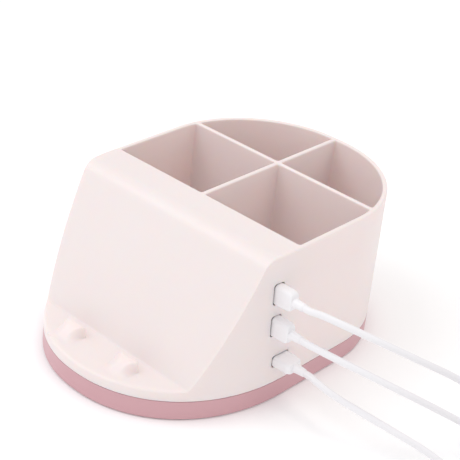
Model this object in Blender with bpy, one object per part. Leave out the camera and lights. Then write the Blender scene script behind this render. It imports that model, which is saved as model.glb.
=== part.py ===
"""Desk organizer with a wireless phone charger and three plugged-in leads.

The frame is X across, +Y to the back and +Z up. The origin lies on the desk, under the middle of the
organizer's box without its leads. All lengths are in metres.
"""
import math

import bpy
from mathutils import Matrix, Vector

MM = 0.001

# General fits
GAP = 0.3 * MM
OVERRUN = 4 * MM
REACH = 150 * MM

# Plan of the body, at the seam and at the rim
WALL_LEAN = 3.0 * MM
BASE_HALF_WIDTH = 72.8 * MM
RIM_HALF_WIDTH = BASE_HALF_WIDTH - WALL_LEAN
BASE_FRONT = 102.0 * MM
RIM_FRONT = BASE_FRONT - WALL_LEAN
BASE_BACK = 99.0 * MM
RIM_BACK = BASE_BACK + WALL_LEAN
FRONT_CENTRE_Y = -18.0 * MM
BACK_CORNER_DEPTH = 67.0 * MM
BACK_FLAT_HALF = 3.8 * MM
FRONT_ROUNDNESS = 2.12
FRONT_STEPS = 36
CORNER_STEPS = 12

# Heights
TRAY_BOTTOM = 0.6 * MM
SEAM_HEIGHT = 11.8 * MM
SHELF_HEIGHT = 18.0 * MM
FLOOR_HEIGHT = 22.0 * MM
TOTAL_HEIGHT = 89.0 * MM

# Body walls
WALL = 2.6 * MM
HOLDER_WALL = 2.8 * MM
DIVIDER = 2.8 * MM
FLOOR_THICKNESS = 2.4 * MM
SHELF_EDGE_RADIUS = 1.5 * MM
SHELF_EDGE_STEPS = 4

# Leaning face and ridge
SLOPE_ANGLE = math.radians(62.3)
SLOPE_FOOT_Y = -74.5 * MM
RIDGE_RADIUS = 10.0 * MM
RIDGE_STEPS = 7

# Holder: its front face stands behind the output ports
HOLDER_SETBACK = 16.08 * MM
DIVIDER_X = -2.0 * MM
DIVIDER_Y = 48.4 * MM

# Phone lips
LIP_WIDTH = 17.0 * MM
LIP_DEPTH = 12.5 * MM
LIP_HEIGHT = 6.2 * MM
LIP_BACK_Y = -83.2 * MM
LIP_SPACING = 41.0 * MM
LIP_ROOT = 1.0 * MM
LIP_LEFT_ROUND = 5.5 * MM
LIP_RIGHT_FALL = 0.8 * MM
LIP_FRONT_FALL = 6.5 * MM
LIP_EVEN_SHARE = 0.4
LIP_GRID_STEPS = 10

# Ports in the right wall: the output ports stand behind the leaning face
OUTPUT_PORT_SETBACK = 16.6 * MM
INPUT_PORT_STEP_BACK = 5.9 * MM
UPPER_PORT_SHARE = 0.693
LOWER_PORT_SHARE = 0.4225
INPUT_PORT_SHARE = 0.1028
PORT_RECESS = 1.0 * MM
PORT_CUT_DEPTH = 12.0 * MM
PORT_CUT_RADIUS = 1.5 * MM
PORT_CLEARANCE = 0.4 * MM

# Plug housings: thickness is the short side, breadth the long one. Small plugs sit in the ports, and a
# large one ends the input lead, for a wall charger
HOUSING_LENGTH = 11.5 * MM
RELIEF_LENGTH = 6.5 * MM
SMALL_HOUSING_BREADTH = 11.8 * MM
SMALL_HOUSING_THICKNESS = 6.5 * MM
LARGE_HOUSING_BREADTH = 14.0 * MM
LARGE_HOUSING_THICKNESS = 7.0 * MM
HOUSING_CORNER = 1.6 * MM
RELIEF_WALL = 0.5 * MM
POCKET_DEPTH = 4.0 * MM

# Plug shells and the sockets round them
SHELL_WALL = 0.3 * MM
SMALL_SHELL_BREADTH = 8.3 * MM
SMALL_SHELL_THICKNESS = 2.5 * MM
SMALL_SHELL_REACH = 6.4 * MM
SMALL_SHELL_CORNER = 1.1 * MM
LARGE_SHELL_BREADTH = 12.0 * MM
LARGE_SHELL_THICKNESS = 4.5 * MM
LARGE_SHELL_REACH = 11.8 * MM
LARGE_SHELL_CORNER = 0.5 * MM
SOCKET_LENGTH = 8.4 * MM
TONGUE_THICKNESS = 0.7 * MM
TONGUE_ROOT = 1.8 * MM

# Boards
BOARD_THICKNESS = 1.6 * MM
CHARGER_BOARD_LENGTH = 57.5 * MM
CHARGER_BOARD_DEPTH = 27.0 * MM
CHARGER_BOARD_BACK_STEP = 5.6 * MM
OUTPUT_BOARD_LENGTH = 46.0 * MM
OUTPUT_BOARD_ABOVE = 11.7 * MM
OUTPUT_BOARD_ABOVE_INPUT = 1.65 * MM
BOARD_WALL_GAP = 0.8 * MM
CHIP_SIZE = (9.0 * MM, 9.0 * MM, 1.4 * MM)
INDUCTOR_SIZE = (10.0 * MM, 10.0 * MM, 4.0 * MM)
CAPACITOR_RADIUS = 3.2 * MM
CAPACITOR_HEIGHT = 7.0 * MM
BOARD_HOLE_INSET = 5.0 * MM
BOARD_POST_RADIUS = 3.2 * MM

# Places on the boards, as shares of their length and depth or height
CHIP_SHARES = (0.31, 0.48)
INDUCTOR_SHARES = (0.59, 0.26)
CAPACITOR_SHARES = (0.80, 0.863)
OUTPUT_CHIP_SHARES = (0.40, 0.60)
COIL_LEAD_SHARES = (0.32, 0.12)
LINK_LEAD_SHARES = (0.42, 0.40)

# Coil behind the leaning face: places run up the face from its foot
COIL_UP_FACE_SHARE = 0.515
CHARGE_COIL_RADIUS = 22.5 * MM
CHARGE_COIL_BORE = 10.5 * MM
CHARGE_COIL_THICKNESS = 1.2 * MM
FERRITE_RADIUS = 25.0 * MM
FERRITE_THICKNESS = 0.8 * MM
BRACKET_WIDTH = 68.0 * MM
BRACKET_HEIGHT = 52.0 * MM
BRACKET_THICKNESS = 1.6 * MM
BRACKET_HOLE_X = 30.0 * MM
BRACKET_HOLE_UP = 21.0 * MM
BRACKET_POST_RADIUS = 3.0 * MM
PEG_RADIUS = 1.4 * MM
BRACKET_WINDOW_RADIUS = 7.0 * MM

# Shares of a screw's head and shank that shape its dome and tip
SCREW_DOME_SHARE = 0.7
SCREW_RIM_SHARE = 0.6
SCREW_TIP_SHARE = 0.4

# Small screws
SCREW_HEAD_RADIUS = 2.1 * MM
SCREW_HEAD_HEIGHT = 1.4 * MM
SCREW_SHANK_RADIUS = 1.0 * MM
SCREW_LENGTH = 6.0 * MM
BRACKET_SCREW_LENGTH = 4.0 * MM

# Base screws and feet
POST_CLEARANCE = 0.4 * MM
BASE_SCREW_SETBACK = 12.5 * MM
BASE_SCREW_HALF_WIDTH_SHARE = 0.645
BASE_SCREW_BACK_SHARE = 0.364
BASE_SCREW_HEAD_RADIUS = 2.6 * MM
BASE_SCREW_HEAD_HEIGHT = 1.9 * MM
BASE_SCREW_SHANK_RADIUS = 1.3 * MM
BASE_SCREW_LENGTH = 12.0 * MM
BASE_SCREW_SEAT = 5.0 * MM
BASE_POST_RADIUS = 4.4 * MM
BODY_POST_RADIUS = 3.6 * MM
FOOT_HALF_WIDTH_SHARES = (0.605, 0.577)
FOOT_DEPTH_SHARES = (-0.47, 0.626)
FOOT_RADIUS = 6.0 * MM
FOOT_INSET = 1.0 * MM

# Tray
TRAY_FLOOR = 2.2 * MM
TRAY_WALL = 2.2 * MM
TRAY_EDGE_RADIUS = 0.9 * MM
TRAY_EDGE_SHARE = 0.3
TRAY_LIP_WALL = 1.2 * MM
TRAY_LIP_HEIGHT = 2.2 * MM

# Wires inside
WIRE_RADIUS = 0.7 * MM

# Leads
CORD_RADIUS = 1.9 * MM
CORD_STEP = 8.0 * MM
COIL_PITCH = 4.3 * MM
COIL_MEAN_RADIUS = 19.4 * MM
COIL_LOOP_COUNT = 7
COIL_LAYER_COUNT = 2
LOOP_POINT_COUNT = 24
TAIL_LEVEL = 10.0 * MM
TAIL_FALL = 17.0 * MM
TAIL_STRAIGHT = 4.0 * MM
TIE_THICKNESS = 0.6 * MM
TIE_WIDTH = 7.0 * MM
COIL_CENTRE_X = 225.0 * MM
UPPER_COIL_Y = 86.85 * MM
LOWER_COIL_Y = 19.15 * MM
INPUT_COIL_Y = -38.85 * MM

# Points that each free cord runs through between its plug and its coil
UPPER_ROUTE = ((97 * MM, -26.9 * MM, 67.0 * MM), (108 * MM, -23.3 * MM, 65.5 * MM),
               (120 * MM, -16.9 * MM, 62.0 * MM), (131 * MM, -9.3 * MM, 57.5 * MM),
               (143 * MM, 2.8 * MM, 49.8 * MM), (154.5 * MM, 17.6 * MM, 39.8 * MM),
               (166 * MM, 32.4 * MM, 27.1 * MM), (178 * MM, 44.5 * MM, 13.9 * MM),
               (192 * MM, 53.9 * MM, 5.2 * MM), (207 * MM, 58.8 * MM, 2.8 * MM),
               (218 * MM, 59.9 * MM, 2.8 * MM))
LOWER_ROUTE = ((97 * MM, -28.8 * MM, 47.9 * MM), (109 * MM, -25.9 * MM, 46.5 * MM),
               (122 * MM, -20.6 * MM, 43.5 * MM), (136.5 * MM, -12.4 * MM, 38.3 * MM),
               (150 * MM, -1.0 * MM, 30.5 * MM), (162.7 * MM, 12.4 * MM, 20.8 * MM),
               (175 * MM, 25.6 * MM, 11.1 * MM), (189 * MM, 37.0 * MM, 4.3 * MM),
               (204 * MM, 44.0 * MM, 2.8 * MM), (218 * MM, 46.1 * MM, 2.8 * MM))
INPUT_ROUTE = ((98 * MM, -23.5 * MM, 24.6 * MM), (110 * MM, -23.2 * MM, 22.6 * MM),
               (127 * MM, -20.4 * MM, 20.0 * MM), (143 * MM, -14.9 * MM, 15.6 * MM),
               (158 * MM, -8.4 * MM, 9.9 * MM), (172 * MM, -4.6 * MM, 4.8 * MM),
               (187 * MM, -5.4 * MM, 2.8 * MM), (203 * MM, -9.2 * MM, 2.8 * MM),
               (218 * MM, -11.9 * MM, 2.8 * MM))

# Shares of a plug housing's length, breadth and thickness, along it
HOUSING_LENGTH_SHARES = (0.0, 0.05, 0.55, 0.84, 0.95, 1.0)
HOUSING_SIZE_SHARES = (0.95, 1.0, 0.99, 0.94, 0.82, 0.66)
RELIEF_LENGTH_SHARES = (0.08, 0.6, 1.0)
RELIEF_SIZE_SHARES = (1.35, 1.1, 1.0)
TONGUE_REACH_SHARE = 0.9

# Shares of the coil tail's level and falling lengths, at its points
TAIL_LEVEL_SHARES = (0.35, 0.7, 1.0)
TAIL_FALL_SHARES = (0.25, 0.5, 0.75, 1.0)

# Colours
WHITE_ABS = "F1EAE8"
PINK_ABS = "D3A6A8"
GREY_RUBBER = "8C8A8A"
STEEL = "C9CBCE"
COPPER = "B8734A"
FERRITE = "3A3A3D"
BOARD_GREEN = "2F6B45"
BLACK_PLASTIC = "232427"
CORD_WHITE = "F0EEF0"
RED_WIRE = "B5262B"
BLACK_WIRE = "1E1E20"

EMPTY_PLAN = "PLAIN_AXES"


def mix(low, high, share):
    return low + (high - low) * share


def linear(code):
    """An sRGB colour code as linear red, green, blue and alpha."""
    parts = [int(code[i:i + 2], 16) / 255 for i in (0, 2, 4)]
    return [p / 12.92 if p <= 0.04045 else ((p + 0.055) / 1.055) ** 2.4 for p in parts] + [1.0]


def dress(obj, code, roughness, metallic=0.0):
    """Give an object a plain material of its own."""
    mat = bpy.data.materials.new(obj.name + "_finish")
    mat.use_nodes = True
    shader = mat.node_tree.nodes["Principled BSDF"]
    shader.inputs["Base Color"].default_value = linear(code)
    shader.inputs["Roughness"].default_value = roughness
    shader.inputs["Metallic"].default_value = metallic
    obj.data.materials.append(mat)
    return obj


def mesh_object(name, verts, faces):
    mesh = bpy.data.meshes.new(name)
    mesh.from_pydata([tuple(v) for v in verts], [], faces)
    mesh.update()
    obj = bpy.data.objects.new(name, mesh)
    bpy.context.scene.collection.objects.link(obj)
    return obj


def loft(name, rings):
    """A closed solid through a stack of rings of equal length, each anticlockwise seen from its end."""
    count = len(rings[0])
    verts = [p for ring in rings for p in ring]
    faces = [tuple(reversed(range(count)))]
    for level in range(len(rings) - 1):
        start = level * count
        for i in range(count):
            j = (i + 1) % count
            faces.append((start + i, start + j, start + count + j, start + count + i))
    top = (len(rings) - 1) * count
    faces.append(tuple(range(top, top + count)))
    return mesh_object(name, verts, faces)


def hoop(name, rings):
    """A closed ring-shaped solid: the last ring of points joins the first one."""
    count = len(rings[0])
    verts = [p for ring in rings for p in ring]
    total = len(verts)
    faces = []
    for level in range(len(rings)):
        start = level * count
        for i in range(count):
            j = (i + 1) % count
            faces.append((start + i, start + j, (start + count + j) % total, (start + count + i) % total))
    return mesh_object(name, verts, faces)


def cutter(obj):
    """Mark an object as a guide that only shapes others."""
    obj.hide_render = True
    obj.display_type = "WIRE"
    return obj


def combine(obj, other, operation):
    mod = obj.modifiers.new(operation.lower() + "_" + other.name, "BOOLEAN")
    mod.operation = operation
    mod.solver = "EXACT"
    mod.object = other
    return obj


def cut(obj, other):
    return combine(obj, cutter(other), "DIFFERENCE")


def fuse(obj, other):
    return combine(obj, cutter(other), "UNION")


def keep_inside(obj, other):
    return combine(obj, cutter(other), "INTERSECT")


def smooth(obj, angle=math.radians(35)):
    obj.data.shade_smooth()
    obj.data.set_sharp_from_angle(angle=angle)
    return obj


def prism(name, profile, half_length=REACH):
    """A profile of (y, z) points, anticlockwise seen from +X, drawn out along X."""
    return loft(name, [[(x, y, z) for y, z in profile] for x in (-half_length, half_length)])


def block(name, x_span, y_span, z_span):
    """A rectangular block between two values on each axis."""
    (x0, x1), (y0, y1), (z0, z1) = x_span, y_span, z_span
    return loft(name, [[(x0, y0, z), (x1, y0, z), (x1, y1, z), (x0, y1, z)] for z in (z0, z1)])


def turned(name, profile, place=(0.0, 0.0), sides=24):
    """A solid of revolution about a vertical axis from (radius, z) points, bottom to top."""
    steps = [i * math.tau / sides for i in range(sides)]
    rings = [[(place[0] + r * math.cos(a), place[1] + r * math.sin(a), z) for a in steps] for r, z in profile]
    return loft(name, rings)


def rod(name, radius, start, end, sides=16):
    """A round bar between two points."""
    start = Vector(start)
    end = Vector(end)
    turn = (end - start).to_track_quat("Z", "Y")
    rings = []
    for point in (start, end):
        rings.append([point + turn @ Vector((radius * math.cos(i * math.tau / sides),
                                             radius * math.sin(i * math.tau / sides), 0))
                      for i in range(sides)])
    return loft(name, rings)


def rounded_section(x, centre, size, corner, steps=2):
    """A rounded rectangle at x, anticlockwise seen from +X; centre and size are (y, z) pairs."""
    corner = min(corner, min(size) * 0.49)
    points = []
    for quarter in range(4):
        right = 1 if quarter in (0, 3) else -1
        upper = 1 if quarter in (0, 1) else -1
        middle = (centre[0] + right * (size[0] / 2 - corner), centre[1] + upper * (size[1] / 2 - corner))
        for i in range(steps + 1):
            a = (quarter + i / steps) * math.pi / 2
            points.append((x, middle[0] + corner * math.cos(a), middle[1] + corner * math.sin(a)))
    return points


def rounded_bar(name, x_span, centre, size, corner):
    return loft(name, [rounded_section(x, centre, size, corner) for x in x_span])


def superellipse(angle, half, depth):
    c = math.cos(angle)
    s = math.sin(angle)
    power = 2 / FRONT_ROUNDNESS
    return half * math.copysign(abs(c) ** power, c), depth * math.copysign(abs(s) ** power, s)


def outline(level, inset=0.0):
    """Plan of the outer wall at a height, drawn in by inset, anticlockwise from the right side.

    Two quarter ellipses round the back corners, and a half superellipse closes the front.
    """
    rise = (level - SEAM_HEIGHT) / (TOTAL_HEIGHT - SEAM_HEIGHT)
    half = mix(BASE_HALF_WIDTH, RIM_HALF_WIDTH, rise) - inset
    front = mix(BASE_FRONT, RIM_FRONT, rise) - inset
    back = mix(BASE_BACK, RIM_BACK, rise) - inset
    depth = BACK_CORNER_DEPTH - inset
    points = []
    for side in (1, -1):
        for i in range(CORNER_STEPS + 1):
            share = i / CORNER_STEPS if side > 0 else 1 - i / CORNER_STEPS
            a = share * math.pi / 2
            points.append((side * (BACK_FLAT_HALF + (half - BACK_FLAT_HALF) * math.cos(a)),
                           back - depth + depth * math.sin(a), level))
    for i in range(FRONT_STEPS + 1):
        x, y = superellipse(math.pi + i * math.pi / FRONT_STEPS, half, front + FRONT_CENTRE_Y)
        points.append((x, FRONT_CENTRE_Y + y, level))
    return points


def wall_x(y, z):
    """Where the outer face of the right wall lies, on its front stretch."""
    rise = (z - SEAM_HEIGHT) / (TOTAL_HEIGHT - SEAM_HEIGHT)
    half = mix(BASE_HALF_WIDTH, RIM_HALF_WIDTH, rise)
    depth = mix(BASE_FRONT, RIM_FRONT, rise) + FRONT_CENTRE_Y
    share = max(FRONT_CENTRE_Y - y, 0.0) / depth
    return half * (1 - share ** FRONT_ROUNDNESS) ** (1 / FRONT_ROUNDNESS)


def slope_y(z, skin=0.0):
    """Where the leaning face, or a face this far under it, stands at a height."""
    rise = (z - SHELF_HEIGHT) / math.tan(SLOPE_ANGLE)
    return SLOPE_FOOT_Y + rise + skin / math.sin(SLOPE_ANGLE)


def port_z(share):
    """Height of a port's middle, from its share of the height above the shelf."""
    return mix(SHELF_HEIGHT, TOTAL_HEIGHT, share)


def output_port_y():
    return slope_y(port_z(UPPER_PORT_SHARE), WALL) + OUTPUT_PORT_SETBACK


def input_port_y():
    return output_port_y() + INPUT_PORT_STEP_BACK


def holder_front_y():
    return output_port_y() + HOLDER_SETBACK


def ridge_line(skin=0.0):
    """The (y, z) line up the leaning face and round the ridge, this far under the surface."""
    foot_z = SHELF_HEIGHT - skin
    centre_z = TOTAL_HEIGHT - RIDGE_RADIUS
    centre_y = slope_y(centre_z) + RIDGE_RADIUS / math.sin(SLOPE_ANGLE)
    radius = RIDGE_RADIUS - skin
    points = [(slope_y(foot_z, skin), foot_z)]
    for i in range(RIDGE_STEPS + 1):
        a = SLOPE_ANGLE * (1 - i / RIDGE_STEPS)
        points.append((centre_y - radius * math.sin(a), centre_z + radius * math.cos(a)))
    return points


def below_surface(name, skin, low):
    """A prism that fills everything under the shelf, the leaning face and the ridge."""
    line = ridge_line(skin)
    top = TOTAL_HEIGHT - skin
    profile = [(-REACH, SHELF_HEIGHT - skin)] + line + [(REACH, top), (REACH, low), (-REACH, low)]
    return prism(name, list(reversed(profile)))


def ease(share):
    """Smooth step from 0 to 1: three times the square less twice the cube of the share."""
    share = min(max(share, 0.0), 1.0)
    return share * share * (3 - 2 * share)


def lip_crest(across, along):
    """Share of a lip's full height at a distance from its left end and a share of its depth.

    The left end is a quarter circle at the back and a smooth step at the front. The right end stands nearly
    upright at the back and is a smooth step towards the front.
    """
    upright = along ** 3
    coin = (1 - (1 - min(across / LIP_LEFT_ROUND, 1.0)) ** 2) ** 0.5
    left = mix(ease(across / LIP_FRONT_FALL), coin, upright)
    return left * ease((LIP_WIDTH - across) / mix(LIP_FRONT_FALL, LIP_RIGHT_FALL, upright))


def lip_mesh(name, centre_x):
    """A phone lip: a mound that rises in half a cosine wave to an upright back face, shaped by its crest."""
    verts = []
    for j in range(LIP_GRID_STEPS + 1):
        along = j / LIP_GRID_STEPS
        rise = (1 - math.cos(math.pi * along)) / 2
        for i in range(LIP_GRID_STEPS + 1):
            share = i / LIP_GRID_STEPS
            across = LIP_WIDTH * mix((1 - math.cos(math.pi * share)) / 2, share, LIP_EVEN_SHARE)
            verts.append((centre_x + across - LIP_WIDTH / 2, LIP_BACK_Y - LIP_DEPTH * (1 - along),
                          SHELF_HEIGHT - GAP + (LIP_HEIGHT + GAP) * rise * lip_crest(across, along)))
    row = LIP_GRID_STEPS + 1
    count = len(verts)
    verts += [(x, y, SHELF_HEIGHT - LIP_ROOT) for x, y, z in verts]
    faces = []
    for j in range(LIP_GRID_STEPS):
        for i in range(LIP_GRID_STEPS):
            a = j * row + i
            faces.append((a, a + 1, a + row + 1, a + row))
    rim = list(range(LIP_GRID_STEPS)) + [j * row + LIP_GRID_STEPS for j in range(LIP_GRID_STEPS)]
    back = range(LIP_GRID_STEPS, 0, -1)
    rim += [LIP_GRID_STEPS * row + i for i in back] + [j * row for j in back]
    for k, a in enumerate(rim):
        b = rim[(k + 1) % len(rim)]
        faces.append((b, a, a + count, b + count))
    faces.append(tuple(a + count for a in reversed(rim)))
    return mesh_object(name, verts, faces)


def shelf_edge_cutter():
    """What rounds the shelf's edge: a hoop outside a quarter circle, kept to the front of the face.

    The circle's first and last chords run on past the shelf and the wall, so that they cross both cleanly.
    """
    radius = SHELF_EDGE_RADIUS
    arc = []
    for i in range(SHELF_EDGE_STEPS + 1):
        a = i * math.pi / 2 / SHELF_EDGE_STEPS
        arc.append(Vector((radius - radius * math.sin(a), SHELF_HEIGHT - radius + radius * math.cos(a))))
    first = 2 * arc[0] - arc[1]
    last = 2 * arc[-1] - arc[-2]
    section = [first] + arc[1:-1] + [last, (-OVERRUN, last.y), (-OVERRUN, SHELF_HEIGHT + OVERRUN)]
    section.append((first.x, SHELF_HEIGHT + OVERRUN))
    plans = [outline(z, inset) for inset, z in section]
    ring = hoop("shelf_edge_cut", [[plan[i] for plan in plans] for i in range(len(plans[0]))])
    low = SHELF_HEIGHT - radius - OVERRUN
    high = SHELF_HEIGHT + radius + OVERRUN
    line = [(slope_y(z) - GAP, z) for z in (low, high)]
    front = prism("shelf_edge_reach", [(-REACH, low)] + line + [(-REACH, high)])
    return keep_inside(ring, front)


def make_body():
    """The white moulding: shelf, leaning face, ridge, holder with dividers, posts and port cuts."""
    body = loft("organizer_body", [outline(z) for z in (SEAM_HEIGHT + GAP, TOTAL_HEIGHT + OVERRUN)])
    keep_inside(body, below_surface("body_surface", 0.0, SEAM_HEIGHT - OVERRUN))
    cut(body, shelf_edge_cutter())

    cavity = loft("cavity", [outline(z, WALL) for z in (SEAM_HEIGHT - OVERRUN, TOTAL_HEIGHT)])
    wall_y = holder_front_y() - HOLDER_WALL
    under_floor = FLOOR_HEIGHT - FLOOR_THICKNESS
    low = SEAM_HEIGHT - 2 * OVERRUN
    line = ridge_line(WALL)
    profile = [(-REACH, SHELF_HEIGHT - WALL)] + line
    profile += [(wall_y, TOTAL_HEIGHT - WALL), (wall_y, under_floor), (REACH, under_floor), (REACH, low)]
    profile.append((-REACH, low))
    keep_inside(cavity, prism("cavity_profile", list(reversed(profile))))
    cut(body, cavity)

    holder = loft("holder", [outline(z, HOLDER_WALL) for z in (FLOOR_HEIGHT, TOTAL_HEIGHT + OVERRUN)])
    x_spans = ((-REACH, DIVIDER_X - DIVIDER / 2), (DIVIDER_X + DIVIDER / 2, REACH))
    y_spans = ((holder_front_y(), DIVIDER_Y - DIVIDER / 2), (DIVIDER_Y + DIVIDER / 2, REACH))
    for x_span in x_spans:
        for y_span in y_spans:
            pocket = block("pocket", x_span, y_span, (SEAM_HEIGHT, TOTAL_HEIGHT + REACH))
            keep_inside(pocket, holder)
            cut(body, pocket)

    for side in (-1, 1):
        fuse(body, lip_mesh("lip", DIVIDER_X + side * LIP_SPACING / 2))
    add_body_posts(body)
    for port in PORTS:
        size = [s + 2 * PORT_CLEARANCE for s in port.housing_size]
        x_span = (port.face_x - PORT_CUT_DEPTH, port.face_x + PORT_CUT_DEPTH)
        cut(body, rounded_bar("port_cut", x_span, port.centre, size, PORT_CUT_RADIUS))
    return dress(smooth(body), WHITE_ABS, 0.35)


def add_body_posts(body):
    """Screw posts under the body, board posts on the holder's front wall and coil posts on the face."""
    limit = below_surface("post_limit", WALL / 2, SEAM_HEIGHT - OVERRUN)
    for place in base_screw_places():
        top = FLOOR_HEIGHT - FLOOR_THICKNESS / 2 if place[1] > holder_front_y() else TOTAL_HEIGHT
        profile = [(BODY_POST_RADIUS, SEAM_HEIGHT + GAP), (BODY_POST_RADIUS, top)]
        fuse(body, keep_inside(turned("body_post", profile, place, 16), limit))
        bore = BASE_SCREW_SHANK_RADIUS + GAP
        end = BASE_SCREW_SEAT + BASE_SCREW_LENGTH + GAP
        cut(body, turned("body_post_bore", [(bore, SEAM_HEIGHT - OVERRUN), (bore, end)], place, 12))
    wall_y = holder_front_y() - HOLDER_WALL
    for x, z in output_board_holes():
        back = output_board_y()[1] + GAP
        fuse(body, rod("board_post", BOARD_POST_RADIUS, (x, back, z), (x, wall_y + HOLDER_WALL / 2, z)))
        depth = output_board_y()[0] - GAP + SCREW_LENGTH + GAP
        bore = SCREW_SHANK_RADIUS + GAP
        cut(body, rod("board_post_bore", bore, (x, back - OVERRUN, z), (x, depth, z), 12))
    height = bracket_face() + GAP
    for index, (x, up) in enumerate(bracket_holes()):
        frame = slope_matrix()
        root = frame @ Vector((x, up, WALL / 2))
        tip = frame @ Vector((x, up, height))
        fuse(body, rod("bracket_post", BRACKET_POST_RADIUS, root, tip))
        if index % 2:
            peg = frame @ Vector((x, up, height - GAP - BRACKET_THICKNESS - GAP))
            fuse(body, rod("bracket_peg", PEG_RADIUS, root, peg, 12))
        else:
            end = frame @ Vector((x, up, height + BRACKET_SCREW_LENGTH - BRACKET_THICKNESS))
            bore = frame @ Vector((x, up, height - OVERRUN))
            cut(body, rod("bracket_post_bore", SCREW_SHANK_RADIUS + GAP, bore, end, 12))


def slope_matrix():
    """The leaning face's inner frame: X across, Y up the face from its foot, Z out of it."""
    foot = Vector((DIVIDER_X, slope_y(SHELF_HEIGHT, WALL), SHELF_HEIGHT))
    return Matrix.Translation(foot) @ Matrix.Rotation(SLOPE_ANGLE, 4, "X")


def coil_up_face():
    """How far up the leaning face the coil's middle lies, from the face's foot."""
    return COIL_UP_FACE_SHARE * (TOTAL_HEIGHT - RIDGE_RADIUS - SHELF_HEIGHT) / math.sin(SLOPE_ANGLE)


def bracket_face():
    """Depth of the bracket's outer side under the face's inner side, as a negative height."""
    return -(GAP + CHARGE_COIL_THICKNESS + GAP + FERRITE_THICKNESS + GAP)


def bracket_holes():
    sides = ((-1, 1), (1, 1), (1, -1), (-1, -1))
    return [(sx * BRACKET_HOLE_X, coil_up_face() + sy * BRACKET_HOLE_UP) for sx, sy in sides]


def slope_empty():
    """An empty on the leaning face's inner side that carries the coil's pieces."""
    empty = bpy.data.objects.new("slope_frame", None)
    empty.empty_display_type = EMPTY_PLAN
    empty.matrix_world = slope_matrix()
    bpy.context.scene.collection.objects.link(empty)
    return empty


def carry(obj, empty):
    """Hang an object that is modelled in an empty's own frame on that empty."""
    obj.parent = empty
    return obj


def make_coil_stack():
    """Coil, ferrite sheet, bracket and its screws, modelled in the leaning face's frame."""
    frame = slope_empty()
    up = (0.0, coil_up_face())
    top = -GAP
    coil_low = top - CHARGE_COIL_THICKNESS
    coil = turned("charge_coil", [(CHARGE_COIL_RADIUS, coil_low), (CHARGE_COIL_RADIUS, top)], up, 32)
    bore = [(CHARGE_COIL_BORE, coil_low - OVERRUN), (CHARGE_COIL_BORE, top + OVERRUN)]
    cut(coil, carry(turned("charge_coil_bore", bore, up, 32), frame))
    dress(smooth(carry(coil, frame)), COPPER, 0.35, 0.8)

    sheet_top = coil_low - GAP
    sheet = [(FERRITE_RADIUS, sheet_top - FERRITE_THICKNESS), (FERRITE_RADIUS, sheet_top)]
    dress(smooth(carry(turned("ferrite_sheet", sheet, up, 32), frame)), FERRITE, 0.6)

    bracket_top = bracket_face()
    bracket = block("coil_bracket", (-BRACKET_WIDTH / 2, BRACKET_WIDTH / 2),
                    (coil_up_face() - BRACKET_HEIGHT / 2, coil_up_face() + BRACKET_HEIGHT / 2),
                    (bracket_top - BRACKET_THICKNESS, bracket_top))
    through = (bracket_top - BRACKET_THICKNESS - OVERRUN, bracket_top + OVERRUN)
    window = [(BRACKET_WINDOW_RADIUS, z) for z in through]
    cut(bracket, carry(turned("bracket_window", window, up, 24), frame))
    for index, place in enumerate(bracket_holes()):
        hole = (PEG_RADIUS if index % 2 else SCREW_SHANK_RADIUS) + GAP
        cut(bracket, carry(turned("bracket_hole", [(hole, z) for z in through], place, 12), frame))
    dress(carry(bracket, frame), BLACK_PLASTIC, 0.5)

    under = bracket_top - BRACKET_THICKNESS - GAP
    for index, name in ((0, "bracket_screw_left"), (2, "bracket_screw_right")):
        screw = screw_mesh(name, BRACKET_SCREW_LENGTH)
        screw.location = (*bracket_holes()[index], under)
        dress(smooth(carry(screw, frame)), STEEL, 0.3, 1.0)


def screw_mesh(name, length, head=SCREW_HEAD_RADIUS, height=SCREW_HEAD_HEIGHT, shank=SCREW_SHANK_RADIUS):
    """A pan-head screw whose head hangs below its origin and whose shank stands up from it."""
    profile = [(head * SCREW_DOME_SHARE, -height), (head, -height * SCREW_RIM_SHARE), (head, 0.0)]
    profile += [(shank, 0.0), (shank, length - shank), (shank * SCREW_TIP_SHARE, length)]
    return turned(name, profile, sides=12)


def output_board_y():
    front = output_port_y() + SMALL_SHELL_THICKNESS / 2 + GAP + SHELL_WALL + GAP
    return front, front + BOARD_THICKNESS


def output_board_z():
    socket_top = port_z(INPUT_PORT_SHARE) + SMALL_SHELL_THICKNESS / 2 + GAP + SHELL_WALL
    return socket_top + OUTPUT_BOARD_ABOVE_INPUT, port_z(UPPER_PORT_SHARE) + OUTPUT_BOARD_ABOVE


def output_board_x():
    front = output_board_y()[0]
    right = min(wall_x(front, z) for z in output_board_z()) - WALL - BOARD_WALL_GAP
    return right - OUTPUT_BOARD_LENGTH, right


def output_board_holes():
    left = output_board_x()[0] + BOARD_HOLE_INSET
    low, high = output_board_z()
    return (left, high - BOARD_HOLE_INSET), (left, low + BOARD_HOLE_INSET)


def charger_board_z():
    top = port_z(INPUT_PORT_SHARE) - SMALL_SHELL_THICKNESS / 2 - GAP - SHELL_WALL - GAP
    return top - BOARD_THICKNESS, top


def charger_board_y():
    back = input_port_y() + CHARGER_BOARD_BACK_STEP
    return back - CHARGER_BOARD_DEPTH, back


def charger_board_x():
    right = wall_x(charger_board_y()[0], charger_board_z()[0]) - WALL - BOARD_WALL_GAP
    return right - CHARGER_BOARD_LENGTH, right


def charger_board_holes():
    left, right = charger_board_x()
    front, back = charger_board_y()
    return ((left + BOARD_HOLE_INSET, back - BOARD_HOLE_INSET),
            (right - BOARD_HOLE_INSET, front + BOARD_HOLE_INSET))


def on_board(spans, shares):
    """A place on a board from its two spans and a share along each."""
    return [mix(*span, share) for span, share in zip(spans, shares)]


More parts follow.
